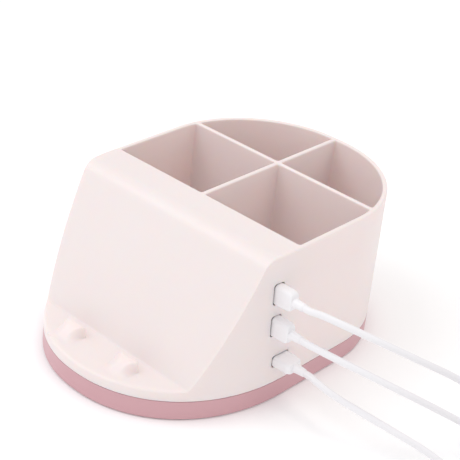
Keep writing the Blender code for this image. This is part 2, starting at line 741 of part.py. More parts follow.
def make_boards():
    """The upright output board and the level charger board, with what they carry."""
    y_span = output_board_y()
    board = block("output_board", output_board_x(), y_span, output_board_z())
    through = (y_span[0] - OVERRUN, y_span[1] + OVERRUN)
    for x, z in output_board_holes():
        ends = [(x, y, z) for y in through]
        cut(board, rod("output_board_hole", SCREW_SHANK_RADIUS + GAP, *ends, 12))
    dress(board, BOARD_GREEN, 0.45)
    for name, (x, z) in zip(("output_board_screw_upper", "output_board_screw_lower"), output_board_holes()):
        screw = screw_mesh(name, SCREW_LENGTH)
        screw.location = (x, y_span[0] - GAP, z)
        screw.rotation_euler = (-math.pi / 2, 0, 0)
        dress(smooth(screw), STEEL, 0.3, 1.0)
    x, z = on_board((output_board_x(), output_board_z()), OUTPUT_CHIP_SHARES)
    near = y_span[1] + GAP
    wide, tall, thick = CHIP_SIZE
    spans = (x - wide / 2, x + wide / 2), (near, near + thick), (z - tall / 2, z + tall / 2)
    chip = block("output_chip", *spans)
    dress(chip, BLACK_PLASTIC, 0.5)

    z_span = charger_board_z()
    plan = charger_board_x(), charger_board_y()
    board = block("charger_board", *plan, z_span)
    for place in charger_board_holes():
        hole = [(SCREW_SHANK_RADIUS + GAP, z) for z in (z_span[0] - OVERRUN, z_span[1] + OVERRUN)]
        cut(board, turned("charger_board_hole", hole, place, 12))
    dress(board, BOARD_GREEN, 0.45)
    for name, (x, y) in zip(("charger_board_screw_left", "charger_board_screw_right"), charger_board_holes()):
        screw = screw_mesh(name, SCREW_LENGTH)
        screw.location = (x, y, z_span[1] + GAP)
        screw.rotation_euler = (math.pi, 0, 0)
        dress(smooth(screw), STEEL, 0.3, 1.0)
    top = z_span[1] + GAP
    for name, shares, size in (("charger_chip", CHIP_SHARES, CHIP_SIZE),
                               ("power_inductor", INDUCTOR_SHARES, INDUCTOR_SIZE)):
        x, y = on_board(plan, shares)
        piece = block(name, (x - size[0] / 2, x + size[0] / 2), (y - size[1] / 2, y + size[1] / 2),
                      (top, top + size[2]))
        dress(piece, BLACK_PLASTIC, 0.5)
    can = [(CAPACITOR_RADIUS, top), (CAPACITOR_RADIUS, top + CAPACITOR_HEIGHT)]
    place = on_board(plan, CAPACITOR_SHARES)
    dress(smooth(turned("filter_capacitor", can, place, 16)), STEEL, 0.35, 0.9)


def make_tray():
    """The pink base tray, with its locating lip, screw posts, board posts and foot seats."""
    edge = TRAY_EDGE_RADIUS
    shoulder = edge * TRAY_EDGE_SHARE
    plans = [outline(SEAM_HEIGHT, inset) for inset in (edge, shoulder, 0.0, 0.0)]
    levels = (TRAY_BOTTOM, TRAY_BOTTOM + shoulder, TRAY_BOTTOM + edge, SEAM_HEIGHT)
    tray = loft("base_tray", [[(x, y, z) for x, y, _ in plan] for plan, z in zip(plans, levels)])
    floor = TRAY_BOTTOM + TRAY_FLOOR
    plan = outline(SEAM_HEIGHT, TRAY_WALL)
    cut(tray, loft("tray_hollow", [[(x, y, z) for x, y, _ in plan] for z in (floor, SEAM_HEIGHT + OVERRUN)]))
    lip_out = outline(SEAM_HEIGHT, WALL + GAP)
    lip_in = outline(SEAM_HEIGHT, WALL + GAP + TRAY_LIP_WALL)
    span = (floor - TRAY_FLOOR / 2, SEAM_HEIGHT + TRAY_LIP_HEIGHT)
    rings = []
    for (xo, yo, _), (xi, yi, _) in zip(lip_out, lip_in):
        rings.append([(xo, yo, span[0]), (xi, yi, span[0]), (xi, yi, span[1]), (xo, yo, span[1])])
    fuse(tray, hoop("tray_lip", rings))
    for place in base_screw_places():
        post = [(BASE_POST_RADIUS, floor - TRAY_FLOOR / 2), (BASE_POST_RADIUS, SEAM_HEIGHT)]
        fuse(tray, turned("tray_post", post, place, 20))
        hole = BASE_SCREW_SHANK_RADIUS + GAP
        sink = BASE_SCREW_HEAD_RADIUS + GAP
        bore = [(sink, TRAY_BOTTOM - OVERRUN), (sink, BASE_SCREW_SEAT), (hole, BASE_SCREW_SEAT)]
        bore.append((hole, SEAM_HEIGHT + OVERRUN))
        cut(tray, turned("tray_post_bore", bore, place, 20))
    for place in charger_board_holes():
        top = charger_board_z()[0] - GAP
        post = [(BOARD_POST_RADIUS, floor - TRAY_FLOOR / 2), (BOARD_POST_RADIUS, top)]
        fuse(tray, turned("charger_post", post, place, 16))
        depth = top + BOARD_THICKNESS - SCREW_LENGTH - GAP
        bore = [(SCREW_SHANK_RADIUS + GAP, z) for z in (depth, top + OVERRUN)]
        cut(tray, turned("charger_post_bore", bore, place, 12))
    for place in foot_places():
        seat = [(FOOT_RADIUS + GAP, TRAY_BOTTOM - OVERRUN), (FOOT_RADIUS + GAP, TRAY_BOTTOM + FOOT_INSET)]
        cut(tray, turned("foot_seat", seat, place, 20))
    dress(smooth(tray), PINK_ABS, 0.4)


def base_screw_places():
    beside_bracket = BRACKET_WIDTH / 2 + abs(DIVIDER_X) + BODY_POST_RADIUS + POST_CLEARANCE
    rows = ((beside_bracket, SLOPE_FOOT_Y + BASE_SCREW_SETBACK),
            (BASE_HALF_WIDTH * BASE_SCREW_HALF_WIDTH_SHARE, BASE_BACK * BASE_SCREW_BACK_SHARE))
    return [(side * x, y) for x, y in rows for side in (-1, 1)]


def foot_places():
    front, back = FOOT_DEPTH_SHARES
    rows = zip(FOOT_HALF_WIDTH_SHARES, (BASE_FRONT * front, BASE_BACK * back))
    return [(side * share * BASE_HALF_WIDTH, y) for share, y in rows for side in (-1, 1)]


def make_feet_and_screws():
    corners = ("front_left", "front_right", "back_left", "back_right")
    for corner, place in zip(corners, foot_places()):
        top = TRAY_BOTTOM + FOOT_INSET - GAP
        profile = [(FOOT_RADIUS, 0.0), (FOOT_RADIUS, top)]
        dress(smooth(turned("foot_" + corner, profile, place, 20)), GREY_RUBBER, 0.8)
    for corner, (x, y) in zip(corners, base_screw_places()):
        screw = screw_mesh("base_screw_" + corner, BASE_SCREW_LENGTH, BASE_SCREW_HEAD_RADIUS,
                           BASE_SCREW_HEAD_HEIGHT, BASE_SCREW_SHANK_RADIUS)
        screw.location = (x, y, BASE_SCREW_SEAT - GAP)
        dress(smooth(screw), STEEL, 0.3, 1.0)


class PlugKind:
    """A kind of plug: thickness and breadth of its housing and shell, and the shell's reach and corner."""

    def __init__(self, housing, shell, reach, corner):
        self.housing = housing
        self.shell = shell
        self.reach = reach
        self.corner = corner


SMALL_PLUG = PlugKind((SMALL_HOUSING_THICKNESS, SMALL_HOUSING_BREADTH),
                      (SMALL_SHELL_THICKNESS, SMALL_SHELL_BREADTH), SMALL_SHELL_REACH, SMALL_SHELL_CORNER)
LARGE_PLUG = PlugKind((LARGE_HOUSING_THICKNESS, LARGE_HOUSING_BREADTH),
                      (LARGE_SHELL_THICKNESS, LARGE_SHELL_BREADTH), LARGE_SHELL_REACH, LARGE_SHELL_CORNER)


class Port:
    """One port in the right wall, the small plug that sits in it and the plug at its lead's far end."""

    def __init__(self, name, centre, upright, far_plug, route, coil_y, turn):
        self.name = name
        self.centre = centre
        self.upright = upright
        self.far_plug = far_plug
        self.route = route
        self.coil_y = coil_y
        self.turn = turn
        self.face_x = wall_x(*centre) - PORT_RECESS
        self.housing_size = self.section(SMALL_PLUG.housing)

    def section(self, size):
        """A (thickness, breadth) pair as (y, z) sizes: the long side stands or lies."""
        return size if self.upright else (size[1], size[0])

    def socket_grow(self, grow):
        return [s + 2 * grow for s in self.section(SMALL_PLUG.shell)]


PORTS = [
    Port("upper", (output_port_y(), port_z(UPPER_PORT_SHARE)), True, SMALL_PLUG, UPPER_ROUTE,
         UPPER_COIL_Y, 1),
    Port("lower", (output_port_y(), port_z(LOWER_PORT_SHARE)), True, SMALL_PLUG, LOWER_ROUTE,
         LOWER_COIL_Y, -1),
    Port("input", (input_port_y(), port_z(INPUT_PORT_SHARE)), False, LARGE_PLUG, INPUT_ROUTE,
         INPUT_COIL_Y, -1),
]


def make_sockets():
    """A metal socket shell and a tongue on a root block for each port."""
    for port in PORTS:
        corner = SMALL_PLUG.corner + GAP
        mouth = port.face_x - GAP
        back = mouth - SOCKET_LENGTH
        socket = rounded_bar(port.name + "_socket", (back, mouth), port.centre,
                             port.socket_grow(GAP + SHELL_WALL), corner + SHELL_WALL)
        hollow = rounded_bar("socket_hollow", (back - OVERRUN, mouth + OVERRUN), port.centre,
                             port.socket_grow(GAP), corner)
        dress(smooth(cut(socket, hollow)), STEEL, 0.3, 1.0)

        root_end = min(back + TONGUE_ROOT, mouth - SMALL_PLUG.reach - GAP)
        root_size = port.section(SMALL_PLUG.shell)
        root = rounded_bar(port.name + "_tongue", (back, root_end), port.centre, root_size, corner)
        size = port.section((TONGUE_THICKNESS, SMALL_PLUG.shell[1] - 2 * SHELL_WALL - 4 * GAP))
        tip = root_end + (SMALL_PLUG.reach - POCKET_DEPTH) * TONGUE_REACH_SHARE
        fuse(root, rounded_bar("tongue_blade", (back + GAP, tip), port.centre, size, TONGUE_THICKNESS / 8))
        dress(smooth(root), BLACK_PLASTIC, 0.5)


def housing_mesh(name, x_start, direction, centre, size):
    """A plug's moulded housing and strain relief from its face along +X or -X, as one loft."""
    sections = []
    for share, scale in zip(HOUSING_LENGTH_SHARES, HOUSING_SIZE_SHARES):
        sections.append((share * HOUSING_LENGTH, [s * scale for s in size], HOUSING_CORNER))
    neck = 2 * CORD_RADIUS + 2 * RELIEF_WALL
    for share, scale in zip(RELIEF_LENGTH_SHARES, RELIEF_SIZE_SHARES):
        sections.append((HOUSING_LENGTH + share * RELIEF_LENGTH, [neck * scale] * 2, neck))
    rings = [rounded_section(x_start + direction * x, centre, s, corner) for x, s, corner in sections]
    if direction < 0:
        rings.reverse()
    return loft(name, rings)


def smooth_route(points, step):
    """Points along a Catmull-Rom curve through the route's own points, about one step apart."""
    points = [Vector(p) for p in points]
    ends = [2 * points[0] - points[1]] + points + [2 * points[-1] - points[-2]]
    out = [points[0]]
    for a, b, c, d in zip(ends, ends[1:], ends[2:], ends[3:]):
        count = max(1, round((c - b).length / step))
        for i in range(1, count + 1):
            t = i / count
            out.append(0.5 * (2 * b + (c - a) * t + (2 * a - 5 * b + 4 * c - d) * t * t
                              + (3 * b - a - 3 * c + d) * t * t * t))
    return out


def tube(name, points, radius, resolution):
    """A round cord along points, as a curve with a bevel and filled ends."""
    curve = bpy.data.curves.new(name, "CURVE")
    curve.dimensions = "3D"
    curve.bevel_depth = radius
    curve.bevel_resolution = resolution
    curve.use_fill_caps = True
    spline = curve.splines.new("POLY")
    spline.points.add(len(points) - 1)
    for slot, point in zip(spline.points, points):
        slot.co = (*point, 1.0)
    obj = bpy.data.objects.new(name, curve)
    bpy.context.scene.collection.objects.link(obj)
    return obj


def coil_level():
    """Height of the cord's middle in a coil's bottom layer: the tie passes under it."""
    return TIE_THICKNESS + GAP + CORD_RADIUS


def coil_points(centre_y, turn, plug_z):
    """The coil's turns and its tail to the far plug, all at one steady spiral rate.

    The radius falls by a pitch a loop to the middle of the length and grows again after it. The height
    goes up one pitch in the half turn about that middle. The tail leaves straight along +X, comes down to
    the far plug and runs straight into it.
    """
    outer = COIL_MEAN_RADIUS + COIL_PITCH * COIL_LOOP_COUNT / 4
    steps = COIL_LOOP_COUNT * LOOP_POINT_COUNT
    low = coil_level()
    high = low + COIL_PITCH * (COIL_LAYER_COUNT - 1)
    points = [Vector((COIL_CENTRE_X - 2 * CORD_RADIUS, centre_y - turn * outer, low))]
    for i in range(steps + 1):
        loops = i / LOOP_POINT_COUNT
        from_middle = loops - COIL_LOOP_COUNT / 2
        radius = outer - COIL_PITCH * (COIL_LOOP_COUNT / 2 - abs(from_middle))
        climb = min(max(from_middle * 2 + 0.5, 0.0), 1.0)
        a = turn * (loops * math.tau - math.pi / 2)
        height = mix(low, high, (1 - math.cos(math.pi * climb)) / 2)
        points.append(Vector((COIL_CENTRE_X + radius * math.cos(a), centre_y + radius * math.sin(a), height)))
    y = centre_y - turn * outer
    x = COIL_CENTRE_X
    for share in TAIL_LEVEL_SHARES:
        points.append(Vector((x + TAIL_LEVEL * share, y, high)))
    for share in TAIL_FALL_SHARES:
        fall = (1 - math.cos(math.pi * share)) / 2
        points.append(Vector((x + TAIL_LEVEL + TAIL_FALL * share, y, mix(high, plug_z, fall))))
    points.append(Vector((x + TAIL_LEVEL + TAIL_FALL + TAIL_STRAIGHT, y, plug_z)))
    return points


def least_self_gap(points):
    """The least clear distance between a tube's surface and itself, measured on its points."""
    least = REACH
    skip = LOOP_POINT_COUNT // 2
    for i, a in enumerate(points):
        for b, c in zip(points[i + skip:], points[i + skip + 1:]):
            side = c - b
            t = min(max((a - b).dot(side) / side.length_squared, 0.0), 1.0)
            least = min(least, (a - b - side * t).length)
    return least - 2 * CORD_RADIUS


def tie_mesh(name, centre_y):
    """A flat band round the coil's bundle of turns, on its side towards the organizer."""
    spread = COIL_PITCH * COIL_LOOP_COUNT / 4 + CORD_RADIUS + GAP
    middle = COIL_CENTRE_X - COIL_MEAN_RADIUS
    low = TIE_THICKNESS
    high = coil_level() + COIL_PITCH * (COIL_LAYER_COUNT - 1) + CORD_RADIUS + GAP
    outside = (middle - spread - TIE_THICKNESS, middle + spread + TIE_THICKNESS)
    band = (centre_y - TIE_WIDTH / 2, centre_y + TIE_WIDTH / 2)
    ring = block(name, outside, band, (0.0, high + TIE_THICKNESS))
    hole = block("tie_hole", (middle - spread, middle + spread), (centre_y - TIE_WIDTH, centre_y + TIE_WIDTH),
                 (low, high))
    return cut(ring, hole)


def hang(obj, joint):
    """Give a piece its joint's empty as parent and its origin at that point, where it stands."""
    obj.data.transform(Matrix.Translation(-joint.location))
    obj.parent = joint
    return obj


def make_lead(port):
    """One lead: shell, housing, free cord, coil, tie and far plug, all on the port's sliding axis."""
    joint = bpy.data.objects.new(port.name + "_lead_axis", None)
    joint.empty_display_type = EMPTY_PLAN
    joint.location = (port.face_x, *port.centre)
    bpy.context.scene.collection.objects.link(joint)

    corner = SMALL_PLUG.corner
    span = (port.face_x - SMALL_PLUG.reach, port.face_x + POCKET_DEPTH)
    size = port.section(SMALL_PLUG.shell)
    inner = [s - 2 * SHELL_WALL for s in size]
    shell = rounded_bar(port.name + "_plug_shell", span, port.centre, size, corner)
    hollow = rounded_bar("shell_hollow", (span[0] - OVERRUN, span[1] + OVERRUN), port.centre, inner,
                         corner - SHELL_WALL)
    cut(hang(shell, joint), hang(hollow, joint))
    dress(smooth(shell), STEEL, 0.25, 1.0)

    housing = housing_mesh(port.name + "_plug_housing", port.face_x, 1, port.centre, port.housing_size)
    pocket_size = [s + 2 * GAP for s in size]
    pocket = rounded_bar("housing_pocket", (span[0], span[1] + GAP), port.centre, pocket_size, corner + GAP)
    cut(hang(housing, joint), hang(pocket, joint))
    dress(smooth(housing), CORD_WHITE, 0.4)

    start_x = port.face_x + HOUSING_LENGTH + RELIEF_LENGTH + GAP
    turns = coil_points(port.coil_y, port.turn, port.far_plug.housing[0] / 2)
    print(port.name, "coil least gap in mm", round(least_self_gap(turns) / MM, 3))
    straight = 2 * CORD_RADIUS
    route = [(start_x, *port.centre), (start_x + straight, *port.centre)] + list(port.route)
    end = turns[0] - Vector((GAP, 0, 0))
    route = smooth_route(route + [end - Vector((straight, 0, 0)), end], CORD_STEP)
    run = hang(tube(port.name + "_lead", route, CORD_RADIUS, 2), joint)
    dress(run, CORD_WHITE, 0.45)
    dress(hang(tube(port.name + "_lead_coil", turns, CORD_RADIUS, 1), joint), CORD_WHITE, 0.45)
    dress(hang(tie_mesh(port.name + "_tie", port.coil_y), joint), BLACK_PLASTIC, 0.6)
    total = sum((b - a).length for line in (route, turns) for a, b in zip(line, line[1:]))
    print(port.name, "cord length in mm", round(total / MM, 1))
    make_far_plug(port, turns[-1], joint)


def make_far_plug(port, cord_end, joint):
    """The plug at a lead's far end, lying flat on the desk."""
    kind = port.far_plug
    thin, broad = kind.housing
    centre = (cord_end.y, cord_end.z)
    face_x = cord_end.x + GAP + RELIEF_LENGTH + HOUSING_LENGTH
    housing = housing_mesh(port.name + "_far_housing", face_x, -1, centre, (broad, thin))
    size = (kind.shell[1], kind.shell[0])
    pocket = rounded_bar("far_pocket", (face_x - POCKET_DEPTH - GAP, face_x + OVERRUN), centre,
                         [s + 2 * GAP for s in size], kind.corner + GAP)
    cut(hang(housing, joint), hang(pocket, joint))
    dress(smooth(housing), CORD_WHITE, 0.4)
    span = (face_x - POCKET_DEPTH, face_x + kind.reach)
    shell = rounded_bar(port.name + "_far_shell", span, centre, size, kind.corner)
    hollow = rounded_bar("far_hollow", (span[0] - OVERRUN, span[1] + OVERRUN), centre,
                         [s - 2 * SHELL_WALL for s in size], kind.corner - SHELL_WALL)
    cut(hang(shell, joint), hang(hollow, joint))
    dress(smooth(shell), STEEL, 0.25, 1.0)


def make_wires():
    """The two coil leads to the charger board and the two link leads between the boards."""
    board_top = charger_board_z()[1] + GAP
    frame = slope_matrix()
    depth = -(GAP + CHARGE_COIL_THICKNESS / 2)
    plan = charger_board_x(), charger_board_y()
    pitch = 4 * WIRE_RADIUS
    landing_x, landing_y = on_board(plan, COIL_LEAD_SHARES)
    for index, name in enumerate(("coil_lead_outer", "coil_lead_inner")):
        shift = index * pitch
        up = coil_up_face() - shift
        x = CHARGE_COIL_RADIUS + GAP
        start = frame @ Vector((x, up, depth))
        out = frame @ Vector((BRACKET_WIDTH / 2 + pitch - shift / 4, up, depth - WIRE_RADIUS))
        turn = frame @ Vector((BRACKET_WIDTH / 2 + pitch, up, depth - BRACKET_THICKNESS * 3))
        land = Vector((landing_x + shift, landing_y, board_top))
        over = land + Vector((0, 0, 2 * pitch))
        points = smooth_route([start, mixed(start, out, 0.5), out, turn, mixed(turn, over, 0.5), over, land],
                              pitch)
        dress(tube(name, points, WIRE_RADIUS, 1), COPPER, 0.4, 0.6)
    board_y = output_board_y()[0] - GAP
    bottom = output_board_z()[0]
    link_x, link_y = on_board(plan, LINK_LEAD_SHARES)
    for index, (name, code) in enumerate((("link_lead_red", RED_WIRE), ("link_lead_black", BLACK_WIRE))):
        x = link_x + index * pitch
        start = Vector((x, link_y, board_top))
        rise = start + Vector((0, 0, pitch))
        end = Vector((x, board_y, bottom + pitch / 2))
        near = end - Vector((0, pitch, 0))
        points = smooth_route([start, rise, near, end], 3 * WIRE_RADIUS)
        dress(tube(name, points, WIRE_RADIUS, 1), code, 0.5)


def mixed(a, b, share):
    return a + (b - a) * share


def main():
    for obj in list(bpy.data.objects):
        bpy.data.objects.remove(obj, do_unlink=True)
    make_body()
    make_tray()
    make_feet_and_screws()
    make_coil_stack()
    make_boards()
    make_sockets()
    make_wires()
    for port in PORTS:
        make_lead(port)


main()
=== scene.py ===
"""Studio picture of a desk organizer with a phone charger in its leaning face and three plugged-in leads.

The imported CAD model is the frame. Every surface that shows is made here again as a finer mesh, or keeps
its CAD mesh in a better finish. X runs across, +Y to the back and +Z up, in metres.
"""
import logging
import math
from dataclasses import dataclass, field
from enum import Enum

import bmesh
import bpy
import numpy as np
from mathutils import Matrix, Vector
from mathutils.geometry import delaunay_2d_cdt


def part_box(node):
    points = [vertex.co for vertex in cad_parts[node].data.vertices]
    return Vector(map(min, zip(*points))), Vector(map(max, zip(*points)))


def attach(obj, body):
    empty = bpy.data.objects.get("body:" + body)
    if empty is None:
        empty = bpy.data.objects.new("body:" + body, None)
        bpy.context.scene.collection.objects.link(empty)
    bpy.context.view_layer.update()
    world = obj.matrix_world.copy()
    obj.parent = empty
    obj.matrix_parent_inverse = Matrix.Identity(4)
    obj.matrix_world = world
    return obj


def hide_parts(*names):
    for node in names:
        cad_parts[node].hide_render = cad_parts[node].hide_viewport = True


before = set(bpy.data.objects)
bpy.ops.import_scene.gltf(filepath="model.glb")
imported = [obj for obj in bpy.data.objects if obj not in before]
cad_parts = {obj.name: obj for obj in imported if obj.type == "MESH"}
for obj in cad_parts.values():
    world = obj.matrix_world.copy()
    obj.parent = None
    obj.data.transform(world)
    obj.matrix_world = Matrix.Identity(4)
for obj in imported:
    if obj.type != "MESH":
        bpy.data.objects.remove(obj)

LOG = logging.getLogger("desk_organizer")
MM = 0.001
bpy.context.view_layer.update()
MERGE_DISTANCE = 0.001 * MM
# Touching pieces keep this gap, as in the CAD model
GAP = 0.3 * MM
# The white body's wall, the whole object's height and the cords' diameter
WALL = 2.6 * MM
TOTAL_HEIGHT = 89.0 * MM
CORD_DIAMETER = 3.8 * MM
CORNERS = ("front_left", "front_right", "back_left", "back_right")
# How many sides a post and a tube have, and how many chords a bar's corner
POST_SIDES = 24
TUBE_SIDES = 14
CORNER_STEPS = 6
# Edges that bend more than this many degrees stay sharp, on most pieces and on round cords
CREASE = 35.0
ROUND_CREASE = 60.0
# A rounded rectangle's corner radius is at most this share of half its short side
ROUNDEST_SHARE = 0.998
# Nearly all of a noise texture's values lie between these
NOISE_SPAN = (0.3, 0.7)
# A Mix node's two colour inputs and its colour output
COLOUR_A, COLOUR_B, COLOUR_OUT = 6, 7, 2
# Output of the Delaunay net that keeps only the triangles inside the loops
INSIDE = 1


# Finishes

def linear(code: str) -> tuple[float, float, float, float]:
    """Turns an sRGB colour code into linear red, green, blue and alpha.

    Args:
        code: Six hexadecimal digits.

    Returns:
        Four numbers from 0 to 1.
    """
    parts = [int(code[i:i + 2], 16) / 255 for i in (0, 2, 4)]
    red, green, blue = [p / 12.92 if p <= 0.04045 else ((p + 0.055) / 1.055) ** 2.4 for p in parts]
    return red, green, blue, 1.0


def add_node(tree: bpy.types.NodeTree, kind: str, settings: dict | None = None,
             feeds: dict | None = None) -> bpy.types.Node:
    """Adds one shader node with its settings and what feeds its sockets.

    Args:
        tree: The material's node tree.
        kind: Blender's name of the node type.
        settings: Values of the node's own properties.
        feeds: For a socket, its constant value or the output that is linked to it.

    Returns:
        The new node.
    """
    made = tree.nodes.new(kind)
    for key, value in (settings or {}).items():
        setattr(made, key, value)
    for key, value in (feeds or {}).items():
        if isinstance(value, bpy.types.NodeSocket):
            tree.links.new(value, made.inputs[key])
        else:
            made.inputs[key].default_value = value
    return made


@dataclass(frozen=True)
class Finish:
    """A surface whose colour drifts a little and whose skin has a fine grain.

    The grain is noise whose spots are grain_size apart. The drift is noise whose patches are patch_size
    apart, and mixes the colour with shade by up to drift. Where glow_share isn't zero, that share of the
    light wanders through the plastic, as far as glow_reach in red, green and blue, before it comes out.
    """

    name: str
    colour: str
    shade: str
    roughness: float
    metallic: float = 0.0
    ior: float = 1.5
    grain_size: float = 0.5 * MM
    grain_height: float = 0.01 * MM
    patch_size: float = 30 * MM
    drift: float = 0.3
    gloss_drift: float = 0.05
    glow_share: float = 0.0
    glow_reach: tuple[float, float, float] = (3.6 * MM, 2.2 * MM, 1.5 * MM)

    def material(self) -> bpy.types.Material:
        """Gives the finish's material, made at its first use."""
        found = bpy.data.materials.get(self.name)
        return found if found else self.build()

    def build(self) -> bpy.types.Material:
        """Makes the material: noise for colour and gloss, and the grain as a bump.

        Returns:
            The new material.
        """
        made = bpy.data.materials.new(self.name)
        made.use_nodes = True
        tree = made.node_tree
        tree.nodes.clear()
        place = add_node(tree, "ShaderNodeTexCoord").outputs["Object"]
        patches = add_node(tree, "ShaderNodeTexNoise", feeds={
            "Vector": place, "Scale": 1 / self.patch_size, "Detail": 3.0, "Roughness": 0.5}).outputs["Fac"]
        share, gloss = [add_node(tree, "ShaderNodeMapRange", feeds={
            "Value": patches, "From Min": NOISE_SPAN[0], "From Max": NOISE_SPAN[1],
            "To Min": low, "To Max": high}).outputs["Result"]
            for low, high in ((0.0, self.drift),
                              (self.roughness - self.gloss_drift, self.roughness + self.gloss_drift))]
        feeds = {"Base Color": self.tint(tree, place, share), "Roughness": gloss, "Metallic": self.metallic,
                 "Normal": self.relief(tree, place)}
        if not self.metallic:
            feeds |= {"IOR": self.ior, "Subsurface Weight": self.glow_share, "Subsurface Scale": 1.0,
                      "Subsurface Radius": self.glow_reach}
        shader = add_node(tree, "ShaderNodeBsdfPrincipled", feeds=feeds)
        add_node(tree, "ShaderNodeOutputMaterial", feeds={"Surface": shader.outputs["BSDF"]})
        return made

    def tint(self, tree: bpy.types.NodeTree, place: bpy.types.NodeSocket,
             share: bpy.types.NodeSocket) -> bpy.types.NodeSocket:
        """Mixes the colour with its shade by the drift.

        Args:
            tree: The material's node tree.
            place: The point on the object.
            share: How much of the shade shows there.

        Returns:
            The colour's output.
        """
        blend = add_node(tree, "ShaderNodeMix", {"data_type": "RGBA"})
        tree.links.new(share, blend.inputs["Factor"])
        blend.inputs[COLOUR_A].default_value = linear(self.colour)
        blend.inputs[COLOUR_B].default_value = linear(self.shade)
        return blend.outputs[COLOUR_OUT]

    def relief(self, tree: bpy.types.NodeTree, place: bpy.types.NodeSocket) -> bpy.types.NodeSocket:
        """Raises the grain as a bump.

        Args:
            tree: The material's node tree.
            place: The point on the object.

        Returns:
            The bent normal's output.
        """
        grain = add_node(tree, "ShaderNodeTexNoise", feeds={
            "Vector": place, "Scale": 1 / self.grain_size, "Detail": 2.0, "Roughness": 0.6})
        bump = add_node(tree, "ShaderNodeBump", feeds={
            "Height": grain.outputs["Fac"], "Distance": self.grain_height, "Strength": 1.0})
        return bump.outputs["Normal"]


@dataclass(frozen=True)
class MaskFinish(Finish):
    """Solder mask over copper: the colour lightens along a pattern of straight tracks.

    The tracks are the joints of a brick pattern, laid out along the board's length and its other side.
    """

    track: str = "3F8A5C"
    track_width: float = 0.35 * MM
    cell: tuple[float, float] = (6.0 * MM, 1.9 * MM)

    def tint(self, tree: bpy.types.NodeTree, place: bpy.types.NodeSocket,
             share: bpy.types.NodeSocket) -> bpy.types.NodeSocket:
        """Lays the tracks over the drifting colour.

        Args:
            tree: The material's node tree.
            place: The point on the object.
            share: How much of the shade shows there.

        Returns:
            The colour's output.
        """
        ground = super().tint(tree, place, share)
        parts = add_node(tree, "ShaderNodeSeparateXYZ", feeds={0: place})
        side = add_node(tree, "ShaderNodeMath", {"operation": "ADD"},
                        {0: parts.outputs["Y"], 1: parts.outputs["Z"]})
        flat = add_node(tree, "ShaderNodeCombineXYZ", feeds={0: parts.outputs["X"], 1: side.outputs[0]})
        bricks = add_node(tree, "ShaderNodeTexBrick", feeds={
            "Vector": flat.outputs[0], "Scale": 1.0, "Mortar Size": self.track_width / 2,
            "Mortar Smooth": 0.1, "Brick Width": self.cell[0], "Row Height": self.cell[1]})
        over = add_node(tree, "ShaderNodeMix", {"data_type": "RGBA"}, {"Factor": bricks.outputs["Fac"]})
        tree.links.new(ground, over.inputs[COLOUR_A])
        over.inputs[COLOUR_B].default_value = linear(self.track)
        return over.outputs[COLOUR_OUT]


@dataclass(frozen=True)
class WovenFinish(Finish):
    """A woven tape: two sets of ribs cross at right angles, each rib as wide as one yarn."""

    yarn: float = 0.6 * MM

    def relief(self, tree: bpy.types.NodeTree, place: bpy.types.NodeSocket) -> bpy.types.NodeSocket:
        """Raises the yarns as a bump: the product of a sine wave round the tape and one across it.

        Args:
            tree: The material's node tree.
            place: The point on the object.

        Returns:
            The bent normal's output.
        """
        parts = add_node(tree, "ShaderNodeSeparateXYZ", feeds={0: place})
        round_it = add_node(tree, "ShaderNodeMath", {"operation": "ADD"},
                            {0: parts.outputs["X"], 1: parts.outputs["Z"]}).outputs[0]
        waves = []
        for way in (round_it, parts.outputs["Y"]):
            turn = add_node(tree, "ShaderNodeMath", {"operation": "MULTIPLY"},
                            {0: way, 1: math.pi / self.yarn})
            wave = add_node(tree, "ShaderNodeMath", {"operation": "SINE"}, {0: turn.outputs[0]})
            waves.append(wave.outputs[0])
        cross = add_node(tree, "ShaderNodeMath", {"operation": "MULTIPLY"}, {0: waves[0], 1: waves[1]})
        bump = add_node(tree, "ShaderNodeBump", feeds={
            "Height": cross.outputs[0], "Distance": self.grain_height, "Strength": 1.0})
        return bump.outputs["Normal"]


# Moulded ABS from a finely spark-eroded tool: milky, half matt, with soft highlights, and thin enough
# for a little warm light to come through the compartments' walls.
CREAM_ABS = Finish("moulded_abs_cream", "F3E6E4", "EFE1DE", 0.38, ior=1.54, grain_size=0.6 * MM,
                   grain_height=0.012 * MM, patch_size=60 * MM, glow_share=0.4)
# The tray's ABS is dyed dusty rose through its whole thickness, from the same kind of tool.
ROSE_ABS = Finish("moulded_abs_rose", "D2A4AA", "CA9A9F", 0.42, ior=1.54, grain_size=0.6 * MM,
                  grain_height=0.012 * MM, patch_size=60 * MM)
# Thermoplastic elastomer over a plug, from a polished tool: brighter and smoother than the body.
PLUG_TPE = Finish("moulded_tpe_white", "F6F4F6", "F1EFF2", 0.32, ior=1.5, grain_size=0.4 * MM,
                  grain_height=0.004 * MM)
# Extruded PVC jacket: an even white with a faint waxy gloss along the cord.
CORD_PVC = Finish("extruded_pvc_white", "F4F2F4", "EEECEF", 0.36, ior=1.53, grain_size=0.8 * MM,
                  grain_height=0.006 * MM)
# Moulded nitrile rubber of the feet: mid grey, matt and a little dusty.
FOOT_RUBBER = Finish("moulded_nitrile_rubber_grey", "8C8A8A", "7E7C7D", 0.78, ior=1.52,
                     grain_size=0.4 * MM, grain_height=0.02 * MM, patch_size=5 * MM)
# Stamped sheet steel with bright nickel plate: mirror-like, with faint drawing marks.
NICKEL_PLATE = Finish("stamped_nickel_plated_steel", "C9C8C5", "BDBBB6", 0.22, metallic=1.0,
                      grain_size=0.25 * MM, grain_height=0.001 * MM, patch_size=4 * MM)
# Cold-headed screws with blue passivated zinc: bright, slightly cloudy metal.
ZINC_SCREW = Finish("zinc_plated_screw_steel", "BFC3C8", "A9AEB6", 0.34, metallic=1.0,
                    grain_size=0.2 * MM, grain_height=0.002 * MM, patch_size=2 * MM)
